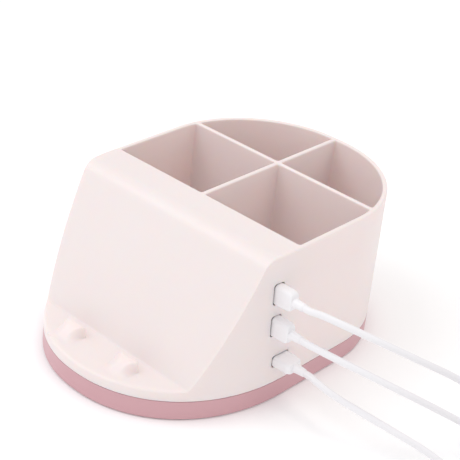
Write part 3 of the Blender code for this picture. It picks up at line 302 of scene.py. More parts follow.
# Pressed manganese-zinc ferrite: dark, dull and slightly grainy.
FERRITE = Finish("pressed_ferrite_sheet", "3A3A3D", "303033", 0.62, ior=2.0, grain_size=0.3 * MM,
                 grain_height=0.015 * MM, patch_size=5 * MM)
# Glass-filled epoxy moulded round the chips and the inductor: near black and half matt.
BLACK_EPOXY = Finish("moulded_black_epoxy", "26272A", "1E1F22", 0.5, grain_size=0.2 * MM,
                     grain_height=0.01 * MM, patch_size=6 * MM)
# Injection-moulded black ABS of the coil's bracket: near black, with soft highlights.
BLACK_ABS = Finish("moulded_abs_black", "232427", "1B1C1F", 0.45, ior=1.54, grain_size=0.5 * MM,
                   grain_height=0.012 * MM, patch_size=20 * MM)
# Glass-epoxy board under green solder mask: glossy, with paler tracks where copper lies beneath.
SOLDER_MASK = MaskFinish("green_solder_mask_board", "1F5B3A", "1A4F33", 0.3, ior=1.55, grain_size=0.3 * MM,
                         grain_height=0.004 * MM, patch_size=8 * MM)
# Nylon hook-and-loop tape: black, dull, with yarns that catch the light in rows.
NYLON_TAPE = WovenFinish("woven_nylon_tape_black", "1F1F21", "17171A", 0.75, ior=1.53, grain_height=0.08 * MM,
                         patch_size=6 * MM)
# Enamelled copper wire: orange-brown metal under a clear lacquer.
MAGNET_WIRE = Finish("enamelled_copper_wire", "B8734A", "A8623A", 0.3, metallic=1.0,
                     grain_size=0.4 * MM, grain_height=0.002 * MM, patch_size=3 * MM)
# Silicone-jacketed hook-up wire: even colour, dull sheen.
RED_WIRE = Finish("silicone_wire_red", "B5262B", "A01F25", 0.5, ior=1.42, patch_size=4 * MM)
BLACK_WIRE = Finish("silicone_wire_black", "1E1E20", "161618", 0.5, ior=1.42, patch_size=4 * MM)
# Deep-drawn aluminium can of the capacitor in its satin state.
DRAWN_CAN = Finish("drawn_aluminium_can", "C4C7CB", "B4B8BD", 0.3, metallic=1.0, grain_size=0.3 * MM,
                   grain_height=0.001 * MM, patch_size=2 * MM)
# Injection-moulded liquid-crystal polymer of the socket tongues: dull near-black.
TONGUE_LCP = Finish("moulded_lcp_black", "202124", "18191B", 0.5, grain_size=0.2 * MM,
                    grain_height=0.006 * MM, patch_size=3 * MM)
# Opal cast acrylic of the light table that everything stands on.
LIGHT_TABLE = Finish("opal_acrylic_light_table", "FFFFFF", "FBFBFB", 0.8, ior=1.49, drift=0.1)


# Mesh work

def mix(low: np.ndarray | float, high: np.ndarray | float, share: np.ndarray | float) -> np.ndarray | float:
    """Gives the value that lies this share of the way from low to high."""
    return low + (high - low) * share


def ease(share: np.ndarray | float) -> np.ndarray | float:
    """Gives a smooth step from 0 to 1: three times the square less twice the cube of the clipped share."""
    held = np.clip(share, 0.0, 1.0)
    return held * held * (3 - 2 * held)


def turn_steps(count: int) -> np.ndarray:
    """Gives count steps of a full turn, in radians, without the last, which is the first again."""
    return np.arange(count) * math.tau / count


def quarter(radius: float, steps: int) -> list[tuple[float, float]]:
    """Gives a quarter circle: at each angle the radius times 1 less its sine, and times 1 less its cosine."""
    return [(radius * (1 - math.sin(angle)), radius * (1 - math.cos(angle)))
            for angle in np.linspace(0.0, math.pi / 2, steps)]


def conic(start: np.ndarray, corner: np.ndarray, end: np.ndarray, share: np.ndarray | float,
          pull: float) -> np.ndarray:
    """Points of a conic arc that leaves its start and reaches its end along the lines to their corner.

    They are the mean of start, corner and end, weighted by the square of 1 less the share, by the pull times
    the share times 1 less the share, and by the square of the share.

    Args:
        start: The arc's first point.
        corner: The corner that it rounds off.
        end: Its last point.
        share: How far along the arc each point lies.
        pull: How near it comes to the corner: the square root of 2 for a square corner's quarter circle.

    Returns:
        The points.
    """
    parts = (1 - share) ** 2, pull * share * (1 - share), share ** 2
    return (parts[0] * start + parts[1] * corner + parts[2] * end) / sum(parts)


def along_line(line: np.ndarray) -> np.ndarray:
    """Gives how far along a line each of its points lies."""
    return np.concatenate([[0.0], np.cumsum(np.linalg.norm(np.diff(line, axis=0), axis=1))])


def linked(name: str, data: bpy.types.ID) -> bpy.types.Object:
    """Makes an object of a mesh, camera or light, and puts it into the scene.

    Args:
        name: The object's name.
        data: What it shows.

    Returns:
        The new object.
    """
    made = bpy.data.objects.new(name, data)
    bpy.context.scene.collection.objects.link(made)
    return made


def signed_area(loop: np.ndarray) -> float:
    """Gives a level loop's area, which is positive where it runs anticlockwise."""
    x, y = loop[:, 0], loop[:, 1]
    return float(np.sum(x * np.roll(y, -1) - np.roll(x, -1) * y) / 2)


@dataclass
class Surface:
    """A mesh in the making: grids and caps whose shared points are merged at the end."""

    points: list[np.ndarray] = field(default_factory=list)
    faces: list[list[int]] = field(default_factory=list)
    count: int = 0

    def put(self, points: np.ndarray) -> int:
        """Adds points and gives the index of the first.

        Args:
            points: An array whose last axis is x, y, z.

        Returns:
            The index of the first new point.
        """
        flat = np.asarray(points, float).reshape(-1, 3)
        self.points.append(flat)
        self.count += len(flat)
        return self.count - len(flat)

    def grid(self, points: np.ndarray, around: bool = True) -> None:
        """Adds a grid of quads, row by row.

        Args:
            points: An array of rows, columns and x, y, z.
            around: Whether the last column joins the first.
        """
        rows, columns = points.shape[:2]
        first = self.put(points)
        row = np.arange(rows - 1)[:, None] * columns
        here = np.arange(columns if around else columns - 1)[None, :]
        there = (here + 1) % columns
        quads = np.stack([row + here, row + there, row + columns + there, row + columns + here], axis=-1)
        self.faces += (quads.reshape(-1, 4) + first).tolist()

    def cap(self, loop: np.ndarray) -> None:
        """Adds one flat face inside a loop of points."""
        first = self.put(loop)
        self.faces.append(list(range(first, first + len(loop))))

    def pierced_cap(self, loops: list[np.ndarray]) -> None:
        """Adds a level face with holes, as the triangles of a constrained Delaunay net.

        Args:
            loops: The outer loop and then the loop of each hole.
        """
        turned = [loop if signed_area(loop) > 0 else loop[::-1] for loop in loops]
        starts = np.cumsum([0] + [len(loop) for loop in turned]).tolist()
        rings = [list(range(start, end)) for start, end in zip(starts, starts[1:])]
        flat, _, triangles, _, _, owners = delaunay_2d_cdt(
            [Vector(point[:2]) for point in np.concatenate(turned)], [], rings, INSIDE, MERGE_DISTANCE)
        first = self.put(np.array([(x, y, loops[0][0, 2]) for x, y in flat]))
        solid = [triangle for triangle, owner in zip(triangles, owners) if list(owner) == [0]]
        self.faces += (np.array(solid) + first).tolist()

    def mesh(self, name: str) -> bpy.types.Mesh:
        """Makes a mesh of the faces as they are.

        Args:
            name: The mesh's name.

        Returns:
            The new mesh.
        """
        made = bpy.data.meshes.new(name)
        made.from_pydata(np.concatenate(self.points).tolist(), [], self.faces)
        return made

    def piece(self, name: str, finish: Finish | None = None, crease: float = CREASE) -> bpy.types.Object:
        """Makes the closed mesh: merges shared points, turns faces outwards and shades it smooth.

        Args:
            name: The piece's name.
            finish: Its finish, or none for a tool that only cuts.
            crease: Edges that bend more than this many degrees stay sharp.

        Returns:
            The new object.
        """
        made = linked(name, self.mesh(name))
        close_up(made.data)
        return finished(made, finish, crease) if finish else made


def close_up(mesh: bpy.types.Mesh, most_sides: int | None = None) -> None:
    """Merges a closed mesh's shared points, turns its faces outwards and reports any open edge.

    Args:
        mesh: The mesh.
        most_sides: Faces with more sides than this are split into triangles; none are if it isn't given.
    """
    work = bmesh.new()
    work.from_mesh(mesh)
    bmesh.ops.remove_doubles(work, verts=work.verts, dist=MERGE_DISTANCE)
    if most_sides:
        bmesh.ops.triangulate(work, faces=[face for face in work.faces if len(face.verts) > most_sides])
    bmesh.ops.dissolve_degenerate(work, edges=work.edges, dist=MERGE_DISTANCE)
    bmesh.ops.recalc_face_normals(work, faces=work.faces)
    if work.calc_volume(signed=True) < 0:
        bmesh.ops.reverse_faces(work, faces=work.faces)
    open_edges = sum(1 for edge in work.edges if len(edge.link_faces) != 2)
    if open_edges:
        LOG.warning("%s has %d open edges", mesh.name, open_edges)
    work.to_mesh(mesh)
    work.free()


def finished(piece: bpy.types.Object, finish: Finish, crease: float = CREASE) -> bpy.types.Object:
    """Shades a piece smooth up to a crease angle and gives it its finish.

    Args:
        piece: The mesh object.
        finish: What it is made of.
        crease: Edges that bend more than this many degrees stay sharp.

    Returns:
        The same object.
    """
    mesh = piece.data
    mesh.shade_smooth()
    mesh.set_sharp_from_angle(angle=math.radians(crease))
    mesh.materials.clear()
    mesh.materials.append(finish.material())
    return piece


class Carve(Enum):
    """How one closed mesh changes another."""

    CUT = "DIFFERENCE"
    JOIN = "UNION"
    KEEP = "INTERSECT"


def carve(piece: bpy.types.Object, tool: bpy.types.Object, how: Carve = Carve.CUT) -> bpy.types.Object:
    """Cuts, joins or keeps a piece by a tool, exactly, and deletes the tool.

    Args:
        piece: The mesh that is kept.
        tool: The mesh that changes it.
        how: The kind of change.

    Returns:
        The changed piece.
    """
    change = piece.modifiers.new("carve", "BOOLEAN")
    change.operation = how.value
    change.solver = "EXACT"
    change.object = tool
    graph = bpy.context.evaluated_depsgraph_get()
    mesh = bpy.data.meshes.new_from_object(piece.evaluated_get(graph))
    piece.modifiers.clear()
    old = piece.data
    piece.data = mesh
    bpy.data.meshes.remove(old)
    bpy.data.objects.remove(tool)
    return piece


def loft(rows: np.ndarray) -> Surface:
    """Joins closed rings, row by row, into a surface with a flat cap at both ends.

    Args:
        rows: An array of rings, points and x, y, z.

    Returns:
        The closed surface.
    """
    made = Surface()
    made.grid(rows)
    made.cap(rows[0])
    made.cap(rows[-1])
    return made


def lathe(rings: list[tuple[float, float]], centre: tuple[float, float], sides: int) -> Surface:
    """A profile of radius and height spun about an upright axis.

    Args:
        rings: Radius and height of each ring, from end to end.
        centre: The axis's x and y.
        sides: How many steps the turn has.

    Returns:
        The surface, with flat caps at both ends.
    """
    radius, height = np.array(rings).T[..., None]
    turn = turn_steps(sides)
    return loft(np.stack([centre[0] + radius * np.cos(turn), centre[1] + radius * np.sin(turn),
                          np.broadcast_to(height, (len(rings), sides))], axis=-1))


def rod(place: tuple[float, float], radius: float, low: float, high: float,
        sides: int = POST_SIDES) -> Surface:
    """Gives an upright round rod between two heights."""
    return lathe([(radius, low), (radius, high)], place, sides)


def rounded_rectangle(size: tuple[float, float], corner: float, steps: int = CORNER_STEPS) -> np.ndarray:
    """A rectangle with quarter-circle corners, anticlockwise: each corner's centre plus its radius turned.

    Args:
        size: The full width and height.
        corner: The corner radius, held just under half the short side.
        steps: Chords in a corner.

    Returns:
        An array of points by two coordinates.
    """
    half = np.array(size) / 2
    corner = min(corner, half.min() * ROUNDEST_SHARE)
    signs = np.array([(1, 1), (-1, 1), (-1, -1), (1, -1)])
    turn = np.arange(4)[:, None] * math.pi / 2 + np.linspace(0, math.pi / 2, steps + 1)[None, :]
    ways = np.stack([np.cos(turn), np.sin(turn)], axis=-1)
    return ((signs * (half - corner))[:, None, :] + corner * ways).reshape(-1, 2)


def bar(sections: list[tuple[float, tuple[float, float], float]], centre: tuple[float, float],
        steps: int = CORNER_STEPS) -> Surface:
    """A rounded rectangle carried along X, whose size and corners change from section to section.

    Args:
        sections: For each section its x, its y and z size, and its corner radius.
        centre: The y and z of the bar's middle line.
        steps: Chords in a corner.

    Returns:
        The surface, with flat caps at both ends.
    """
    rows = []
    for x, size, corner in sections:
        ring = rounded_rectangle(size, corner, steps)
        rows.append(np.column_stack([np.full(len(ring), x), ring + np.array(centre)]))
    return loft(np.array(rows))


def tube(path: np.ndarray, radius: float, sides: int = TUBE_SIDES) -> Surface:
    """A round tube: a circle carried along a path, in a frame that never twists about it.

    Each ring stands square to the line between its two neighbours. The frame's side is level, so a path may
    not run straight up.

    Args:
        path: The points of the centre line.
        radius: The tube's radius.
        sides: How many sides the circle has.

    Returns:
        The surface, with flat caps at both ends.
    """
    along = np.gradient(path, axis=0)
    along /= np.linalg.norm(along, axis=1, keepdims=True)
    side = np.cross(along, (0.0, 0.0, 1.0))
    side /= np.linalg.norm(side, axis=1, keepdims=True)
    lift = np.cross(side, along)
    turn = turn_steps(sides)
    return loft(path[:, None, :] + radius * (side[:, None, :] * np.cos(turn)[None, :, None]
                                             + lift[:, None, :] * np.sin(turn)[None, :, None]))


def smoothed_copy(node: str, name: str, finish: Finish, body: str, slot: str,
                  crease: float = CREASE) -> bpy.types.Object:
    """A CAD part's own mesh with its loose triangles merged, shaded smooth, in the part's place.

    Args:
        node: The CAD node it stands for.
        name: The new piece's name.
        finish: What it is made of.
        body: The body that it rides on.
        slot: The record's material slot.
        crease: Edges that bend more than this many degrees stay sharp.

    Returns:
        The new piece.
    """
    made = linked(name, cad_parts[node].data.copy())
    work = bmesh.new()
    work.from_mesh(made.data)
    bmesh.ops.remove_doubles(work, verts=work.verts, dist=MERGE_DISTANCE)
    work.to_mesh(made.data)
    work.free()
    return placed(finished(made, finish, crease), body, slot, node)


def middle(node: str) -> tuple[float, float, float]:
    """Gives the middle of a CAD node's box at rest."""
    low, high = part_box(node)
    return (low.x + high.x) / 2, (low.y + high.y) / 2, (low.z + high.z) / 2


def placed(piece: bpy.types.Object, body: str, slot: str, *nodes: str) -> bpy.types.Object:
    """Lets a piece ride on its body in place of CAD nodes, and reports it.

    Args:
        piece: The finished piece.
        body: The body that it rides on.
        slot: The record's material slot; not used.
        nodes: The CAD nodes it stands for.

    Returns:
        The same piece.
    """
    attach(piece, body)
    if nodes:
        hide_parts(*nodes)
    LOG.info("%s: %d faces on %s", piece.name, len(piece.data.polygons), body)
    return piece


# The organizer's plan

class Stretch(Enum):
    """The stretches of the plan's right half, from the middle of the front to the middle of the back."""

    FRONT = 0
    SIDE = 1
    CORNER = 2
    BACK = 3


@dataclass(frozen=True)
class Plan:
    """The outline that the white body and the rose tray share.

    The front is half a superellipse, the sides are straight, the back corners are quarter ellipses and a
    short flat closes the back. Every size changes evenly from the seam to the rim.
    """

    base_half_width: float = 72.8 * MM
    base_front: float = 102.0 * MM
    base_back: float = 99.0 * MM
    wall_lean: float = 3.0 * MM
    front_centre_y: float = -18.0 * MM
    back_corner_depth: float = 67.0 * MM
    back_flat_half: float = 3.8 * MM
    front_roundness: float = 2.12
    seam_height: float = 11.8 * MM

    def lean(self, z: np.ndarray) -> np.ndarray:
        """Gives how far the walls have leant at a height."""
        return self.wall_lean * (z - self.seam_height) / (TOTAL_HEIGHT - self.seam_height)

    def corner_y(self, z: np.ndarray) -> np.ndarray:
        """Gives where the back corners begin."""
        return self.base_back + self.lean(z) - self.back_corner_depth

    def front_reach(self, z: np.ndarray, inset: np.ndarray | float = 0.0) -> np.ndarray:
        """Gives how far the front stands before the superellipse's centre."""
        return self.base_front - self.lean(z) - inset + self.front_centre_y

    def at(self, stretch: np.ndarray, share: np.ndarray, z: np.ndarray,
           inset: np.ndarray | float = 0.0) -> np.ndarray:
        """Points of the right half.

        On the front x is half the width times the cosine, and y the reach times the sine, each raised to 2
        over the roundness. In a corner x and y are those of a quarter ellipse.

        Args:
            stretch: The stretch of each column, as its number.
            share: The angle from the right side on the front, the share of the side or of the back flat,
                or the angle in the corner.
            z: The height of each point.
            inset: How far the outline is drawn in.

        Returns:
            An array of points.
        """
        power = 2 / self.front_roundness
        half = self.base_half_width - self.lean(z) - inset
        corner = self.corner_y(z)
        back = self.base_back + self.lean(z) - inset
        angle = np.where((stretch == Stretch.FRONT.value) | (stretch == Stretch.CORNER.value), share, 0.0)
        wave_x = np.abs(np.cos(angle)) ** power
        wave_y = np.abs(np.sin(angle)) ** power
        xs = [half * wave_x, half + 0 * share,
              self.back_flat_half + (half - self.back_flat_half) * np.cos(angle),
              self.back_flat_half * (1 - share) + 0 * half]
        ys = [self.front_centre_y - self.front_reach(z, inset) * wave_y,
              mix(self.front_centre_y, corner, share),
              corner + (self.back_corner_depth - inset) * np.sin(angle), back + 0 * share]
        which = [stretch + 0 * z == s.value for s in Stretch]
        x = np.select(which, [a + 0 * z for a in xs])
        y = np.select(which, [a + 0 * z for a in ys])
        return np.stack([x, y, z + 0 * x], axis=-1)

    def front_angle(self, y: np.ndarray, z: np.ndarray) -> np.ndarray:
        """Gives the front's angle at a depth: the arcsine of the depth's share to half the roundness."""
        share = np.clip((self.front_centre_y - y) / self.front_reach(z), 0.0, 1.0)
        return -np.arcsin(share ** (self.front_roundness / 2))

    def wall_x(self, y: float, z: float) -> float:
        """Gives the right wall's outer face at a depth on the front stretch and a height."""
        angle = self.front_angle(np.array(y), np.array(z))
        return float(self.at(np.array(Stretch.FRONT.value), angle, np.array(z))[0])


def mirrored(points: np.ndarray) -> np.ndarray:
    """Closes a right half into a ring: the same columns run back on the left, less the two in the middle."""
    left = points[..., -2:0:-1, :] * np.array([-1.0, 1.0, 1.0])
    return np.concatenate([points, left], axis=-2)


@dataclass(frozen=True)
class Face:
    """The body's upper side seen from the right: shelf, leaning face, ridge and flat top."""

    shelf_height: float = 18.0 * MM
    slope_angle: float = math.radians(62.3)
    slope_foot_y: float = -74.5 * MM
    ridge_radius: float = 10.0 * MM
    foot_radius: float = 1.6 * MM
    coil_share: float = 0.515

    def slope_y(self, z: float, skin: float = 0.0) -> float:
        """Gives where the leaning face, or a face this far under it, stands at a height."""
        return (self.slope_foot_y + (z - self.shelf_height) / math.tan(self.slope_angle)
                + skin / math.sin(self.slope_angle))

    def coil_up(self) -> float:
        """Gives how far up the face the charging coil's middle lies."""
        rise = TOTAL_HEIGHT - self.ridge_radius - self.shelf_height
        return self.coil_share * rise / math.sin(self.slope_angle)

    def under_face(self, x: float, up: float, out: float) -> np.ndarray:
        """Gives a point by its place on the leaning face's inner side.

        Args:
            x: Its x.
            up: How far up the inner side it lies, from the shelf's height.
            out: How far it stands out of the inner side.

        Returns:
            The point.
        """
        foot = np.array([x, self.slope_y(self.shelf_height, WALL), self.shelf_height])
        lean = self.slope_angle
        return (foot + up * np.array([0.0, math.cos(lean), math.sin(lean)])
                + out * np.array([0.0, -math.sin(lean), math.cos(lean)]))

    def foot_span(self) -> tuple[float, float]:
        """Gives the depths between which the face's foot curves into the shelf."""
        reach = self.foot_radius * math.tan(self.slope_angle / 2)
        return self.slope_foot_y - reach, self.slope_foot_y + reach * math.cos(self.slope_angle)

    def ridge_centre(self) -> tuple[float, float]:
        """Gives the depth and height of the ridge's centre."""
        z = TOTAL_HEIGHT - self.ridge_radius
        return self.slope_y(z) + self.ridge_radius / math.sin(self.slope_angle), z

    def height(self, y: np.ndarray) -> np.ndarray:
        """Height of the upper side at a depth.

        The foot is a circle that touches shelf and face, the face a straight line, and the ridge a circle
        that touches face and top.

        Args:
            y: The depths.

        Returns:
            The heights.
        """
        foot_start, foot_end = self.foot_span()
        centre_y, centre_z = self.ridge_centre()
        ridge_start = centre_y - self.ridge_radius * math.sin(self.slope_angle)
        foot = self.shelf_height + self.foot_radius - np.sqrt(
            np.clip(self.foot_radius ** 2 - (y - foot_start) ** 2, 0, None))
        slope = self.shelf_height + (y - self.slope_foot_y) * math.tan(self.slope_angle)
        ridge = centre_z + np.sqrt(np.clip(self.ridge_radius ** 2 - (y - centre_y) ** 2, 0, None))
        return np.select([y <= foot_start, y <= foot_end, y <= ridge_start, y <= centre_y],
                         [self.shelf_height + 0 * y, foot, slope, ridge], TOTAL_HEIGHT + 0 * y)


# The white body

@dataclass(frozen=True)
class Column:
    """The right half's columns: the stretch, share and top height of each.

    Two of them have a number of their own: foot is the first that climbs the leaning face, and ridge is
    where the ridge meets the flat top.
    """

    stretch: np.ndarray
    share: np.ndarray
    top: np.ndarray
    foot: int
    ridge: int


@dataclass
class Body:
    """The white moulding: walls, shelf with two lips, leaning face, ridge and four compartments.

    A hold line is a row of points that stands hold away from a rounding, so that the shading stays flat
    beside it. A tool runs past what it cuts by overrun, or by reach where it crosses the whole body.
    """

    plan: Plan = field(default_factory=Plan)
    face: Face = field(default_factory=Face)
    holder_wall: float = 2.8 * MM
    divider: float = 2.8 * MM
    divider_x: float = -2.0 * MM
    divider_y: float = 48.4 * MM
    holder_setback: float = 16.08 * MM
    floor_height: float = 22.0 * MM
    floor_thickness: float = 2.4 * MM
    shelf_edge_radius: float = 1.5 * MM
    crease_radius: float = 0.6 * MM
    rim_radius: float = 1.1 * MM
    pocket_rim_radius: float = 0.9 * MM
    pocket_corner: float = 1.2 * MM
    pocket_foot_radius: float = 1.5 * MM
    seam_radius: float = 0.2 * MM
    seam_steps: int = 4
    wall_steps: int = 7
    hold: float = 0.25 * MM
    pocket_pull: float = 1.5
    shelf_reach: float = 5.4 * MM
    rim_reach: float = 1.5 * MM
    foot_blend: float = 9.0 * MM
    ridge_blend: float = 6.0 * MM
    rim_blend: float = 14.0 * MM
    land: float = 0.25 * MM
    overrun: float = 4.0 * MM
    reach: float = 150.0 * MM
    front_steps: int = 90
    foot_steps: int = 7
    slope_steps: int = 26
    ridge_steps: int = 12
    side_steps: int = 14
    corner_steps: int = 66
    flat_steps: int = 6
    edge_steps: int = 9
    curve_steps: int = 60
    under_steps: int = 10
    rim_steps: int = 7
    pocket_wall_steps: int = 6
    pocket_foot_steps: int = 6
    pocket_line_steps: int = 14
    pocket_side_steps: int = 16
    pocket_back_steps: int = 40
    pocket_bend_steps: int = 10

    def columns(self) -> Column:
        """Spreads the columns: evenly round the front, then by depth up the face, then round the back.

        Returns:
            The columns of the right half.
        """
        foot_start, foot_end = self.face.foot_span()
        centre_y, _ = self.face.ridge_centre()
        arc = np.linspace(self.face.slope_angle, 0.0, self.ridge_steps)
        ridge = centre_y - self.face.ridge_radius * np.sin(arc)
        depths = np.concatenate([
            np.linspace(foot_start, foot_end, self.foot_steps),
            np.linspace(foot_end, ridge[0], self.slope_steps)[1:], ridge[1:],
            np.linspace(centre_y, self.plan.front_centre_y, self.flat_steps)[1:]])
        tops = self.face.height(depths)
        angles = self.plan.front_angle(depths, tops)
        shelf = np.linspace(-math.pi / 2, angles[0], self.front_steps)[:-1]
        groups = [(Stretch.FRONT, shelf, np.full(len(shelf), self.face.shelf_height)),
                  (Stretch.FRONT, angles, tops)]
        groups += [(stretch, share, np.full(len(share), TOTAL_HEIGHT)) for stretch, share in (
            (Stretch.SIDE, np.linspace(0.0, 1.0, self.side_steps)[1:]),
            (Stretch.CORNER, np.linspace(0.0, math.pi / 2, self.corner_steps)[1:]),
            (Stretch.BACK, np.array([0.5, 1.0])))]
        return Column(np.concatenate([np.full(len(g[1]), g[0].value) for g in groups]),
                      np.concatenate([g[1] for g in groups]), np.concatenate([g[2] for g in groups]),
                      len(shelf), len(shelf) + int(np.argmin(np.abs(depths - centre_y))))

    def shell(self) -> Surface:
        """The outer skin: underside, walls, rounded edges, shelf, face, ridge and top with compartments.

        Each column runs up the wall, bends inwards on a conic arc about the edge it would have, and ends on
        the upper side at a hold line.

        Returns:
            The closed surface.
        """
        columns = self.columns()
        count = len(columns.top)
        on_shelf = np.arange(count) < columns.foot
        edge = self.plan.at(columns.stretch, columns.share, columns.top)
        ring = mirrored(edge)
        tangent = (np.roll(ring, -1, axis=0) - np.roll(ring, 1, axis=0))[:count]
        inward = np.stack([-tangent[:, 1], tangent[:, 0]], axis=-1)
        inward /= np.linalg.norm(inward, axis=1, keepdims=True)
        path = along_line(edge)
        to_foot = ease((path[columns.foot] - path) / self.foot_blend)
        past_ridge = ease((path - path[columns.ridge]) / self.ridge_blend)
        straight = 1 - np.maximum(to_foot, past_ridge)
        inward = inward * (1 - straight)[:, None] + np.array([-1.0, 0.0]) * straight[:, None]
        inward /= np.linalg.norm(inward, axis=1, keepdims=True)
        near_top = ease((path - path[columns.ridge]) / self.rim_blend + 1)
        radius = np.where(on_shelf, mix(self.crease_radius, self.shelf_edge_radius, to_foot),
                          mix(self.crease_radius, self.rim_radius, near_top))
        reach = mix(self.shelf_reach, self.rim_reach, np.where(on_shelf, 0.0, near_top))

        low = self.plan.seam_height + GAP
        levels = [(np.full(count, low + rise), inset)
                  for inset, rise in quarter(self.seam_radius, self.seam_steps)]
        levels += [(mix(low + self.seam_radius + self.hold, columns.top - radius - self.hold, share), 0.0)
                   for share in np.linspace(0.0, 1.0, self.wall_steps)]
        rows = [self.plan.at(columns.stretch, columns.share, z, inset) for z, inset in levels]
        under = self.plan.at(columns.stretch, columns.share, columns.top - radius)
        level_in = np.column_stack([inward, np.zeros(count)])
        rows += [conic(under, edge, edge + level_in * radius[:, None], share, math.sqrt(2))
                 for share in np.linspace(0.0, 1.0, self.edge_steps)]
        rows += [edge + level_in * mix(radius + self.hold, reach, share)[:, None]
                 for share in (0.0, 0.5, 1.0)]

        made = Surface()
        grid = mirrored(np.array(rows))
        made.grid(grid)
        made.cap(grid[0])
        last = grid[-1]
        total = len(last)
        foot, ridge = columns.foot, columns.ridge
        made.cap(np.concatenate([last[:foot + 1], last[total - foot:]]))
        right = last[foot:ridge + 1]
        left = last[[total - i for i in range(foot, ridge + 1)]]
        made.grid(np.stack([right, left], axis=1), around=False)
        self.add_compartments(made, last[ridge:total - ridge + 1])
        return made

    def outer_path(self, z: float, inset: float, start_y: float, end: tuple[float, float]) -> np.ndarray:
        """The right wall's line at a height, from a depth back to another depth or round to an x.

        Args:
            z: The height.
            inset: How far the line lies inside the outer face.
            start_y: The depth where it starts.
            end: The depth where it ends, and the x where it ends if it runs round the corner.

        Returns:
            Its points.
        """
        corner = float(self.plan.corner_y(np.array(z)))
        depth = self.plan.back_corner_depth - inset
        half = self.plan.base_half_width - float(self.plan.lean(np.array(z))) - inset
        first = math.asin(min(max((start_y - corner) / depth, 0.0), 1.0))
        last = math.asin(min(max((end[0] - corner) / depth, 0.0), 1.0))
        turn = np.linspace(first, last, self.curve_steps)
        flat = self.plan.back_flat_half
        path = np.stack([flat + (half - flat) * np.cos(turn), corner + depth * np.sin(turn)], axis=-1)
        if start_y < corner:
            path = np.concatenate([[(half, start_y)], path])
        if last >= math.pi / 2:
            path = np.concatenate([path, [(end[1], corner + depth)]])
        return path

    def compartment_loop(self, side: int, at_back: bool, z: float, grow: float) -> np.ndarray:
        """A compartment's outline at a height, grown by a margin: straight walls and the body's own curve.

        Each side is resampled evenly between its corners, and a conic arc rounds off each corner.

        Args:
            side: 1 for the right compartments and -1 for the left ones.
            at_back: Whether it lies behind the cross divider.
            z: The height.
            grow: How far the outline lies outside the compartment's own.

        Returns:
            Its points, with the same count at every height.
        """
        inner_x = side * self.divider_x + self.divider / 2 - grow
        inset = self.holder_wall - grow
        if at_back:
            near, curve_steps = self.divider_y + self.divider / 2 - grow, self.pocket_back_steps
            far = self.reach
            corners = [(inner_x, near)]
        else:
            near, curve_steps = self.holder_front_y() - grow, self.pocket_side_steps
            far = self.divider_y - self.divider / 2 + grow
            corners = [(inner_x, far), (inner_x, near)]
        curve = self.outer_path(z, inset, near, (far, inner_x))
        sides = [np.array([corners[-1], curve[0]]), curve]
        sides += [np.array(pair) for pair in zip([curve[-1]] + corners, corners)]
        counts = [self.pocket_line_steps, curve_steps] + [self.pocket_line_steps] * len(corners)
        runs = [self.resampled(line, self.pocket_corner + grow, count) for line, count in zip(sides, counts)]
        bend = np.linspace(0.0, 1.0, self.pocket_bend_steps)[1:-1, None]
        parts = []
        for run, line, following in zip(runs, sides, runs[1:] + runs[:1]):
            parts += [run, conic(run[-1], line[-1], following[0], bend, self.pocket_pull)]
        loop = np.concatenate(parts) * np.array([side, 1.0])
        return np.column_stack([loop, np.full(len(loop), z)])

    @staticmethod
    def resampled(line: np.ndarray, trim: float, count: int) -> np.ndarray:
        """Points evenly spaced along a line.

        Args:
            line: The line's own points.
            trim: The length that is left out at both ends.
            count: How many points there are.

        Returns:
            The points.
        """
        path = along_line(line)
        steps = np.linspace(trim, path[-1] - trim, count)
        return np.stack([np.interp(steps, path, line[:, 0]), np.interp(steps, path, line[:, 1])], axis=-1)

    def holder_front_y(self) -> float:
        """Gives the depth of the holder's front compartments' front face."""
        return Ports(self.plan, self.face).output_y() + self.holder_setback

    def add_compartments(self, made: Surface, outer: np.ndarray) -> None:
        """Adds the flat top round four compartments, and their walls and floors.

        Each wall starts on the top at a hold line, bends down on a quarter circle, follows the outer wall's
        lean, bends again at its foot and ends in a flat floor.

        Args:
            made: The surface that they are added to.
            outer: The flat top's outer loop.
        """
        rim, foot = self.pocket_rim_radius, self.pocket_foot_radius
        top, floor = TOTAL_HEIGHT, self.floor_height
        levels = [(top, rim + self.land)]
        levels += [(top - fall, grow) for grow, fall in quarter(rim, self.rim_steps)]
        levels += [(z, 0.0) for z in np.linspace(top - rim - self.hold, floor + foot + self.hold,
                                                 self.pocket_wall_steps)]
        levels += [(floor + rise, -shrink) for rise, shrink in quarter(foot, self.pocket_foot_steps)]
        holes = []
        for side in (1, -1):
            for at_back in (False, True):
                rings = np.array([self.compartment_loop(side, at_back, z, grow) for z, grow in levels])
                made.grid(rings)
                made.cap(rings[-1])
                holes.append(rings[0])
        made.pierced_cap([outer] + holes)

    def prism(self, name: str, profile: list[tuple[float, float]]) -> bpy.types.Object:
        """A (y, z) profile carried straight across X, past the body on both sides."""
        rows = np.array([[(x, y, z) for y, z in profile] for x in (-self.reach, self.reach)])
        return loft(rows).piece(name)

    def cavity(self) -> bpy.types.Object:
        """The hollow under the shelf, the face and the ridge, in front of and under the holder.

        Returns:
            A tool that cuts it.
        """
        columns = self.columns()
        low = self.plan.seam_height - self.overrun
        rows = [self.plan.at(columns.stretch, columns.share, np.full(len(columns.top), z), WALL)
                for z in (low, TOTAL_HEIGHT)]
        hollow = loft(mirrored(np.array(rows))).piece("cavity")
        wall_y = self.holder_front_y() - self.holder_wall
        under = self.floor_height - self.floor_thickness
        line = self.under_side(WALL)
        line += [(wall_y, TOTAL_HEIGHT - WALL), (wall_y, under), (self.reach, under), (self.reach, low),
                 (-self.reach, low)]
        return carve(hollow, self.prism("cavity_profile", line), Carve.KEEP)

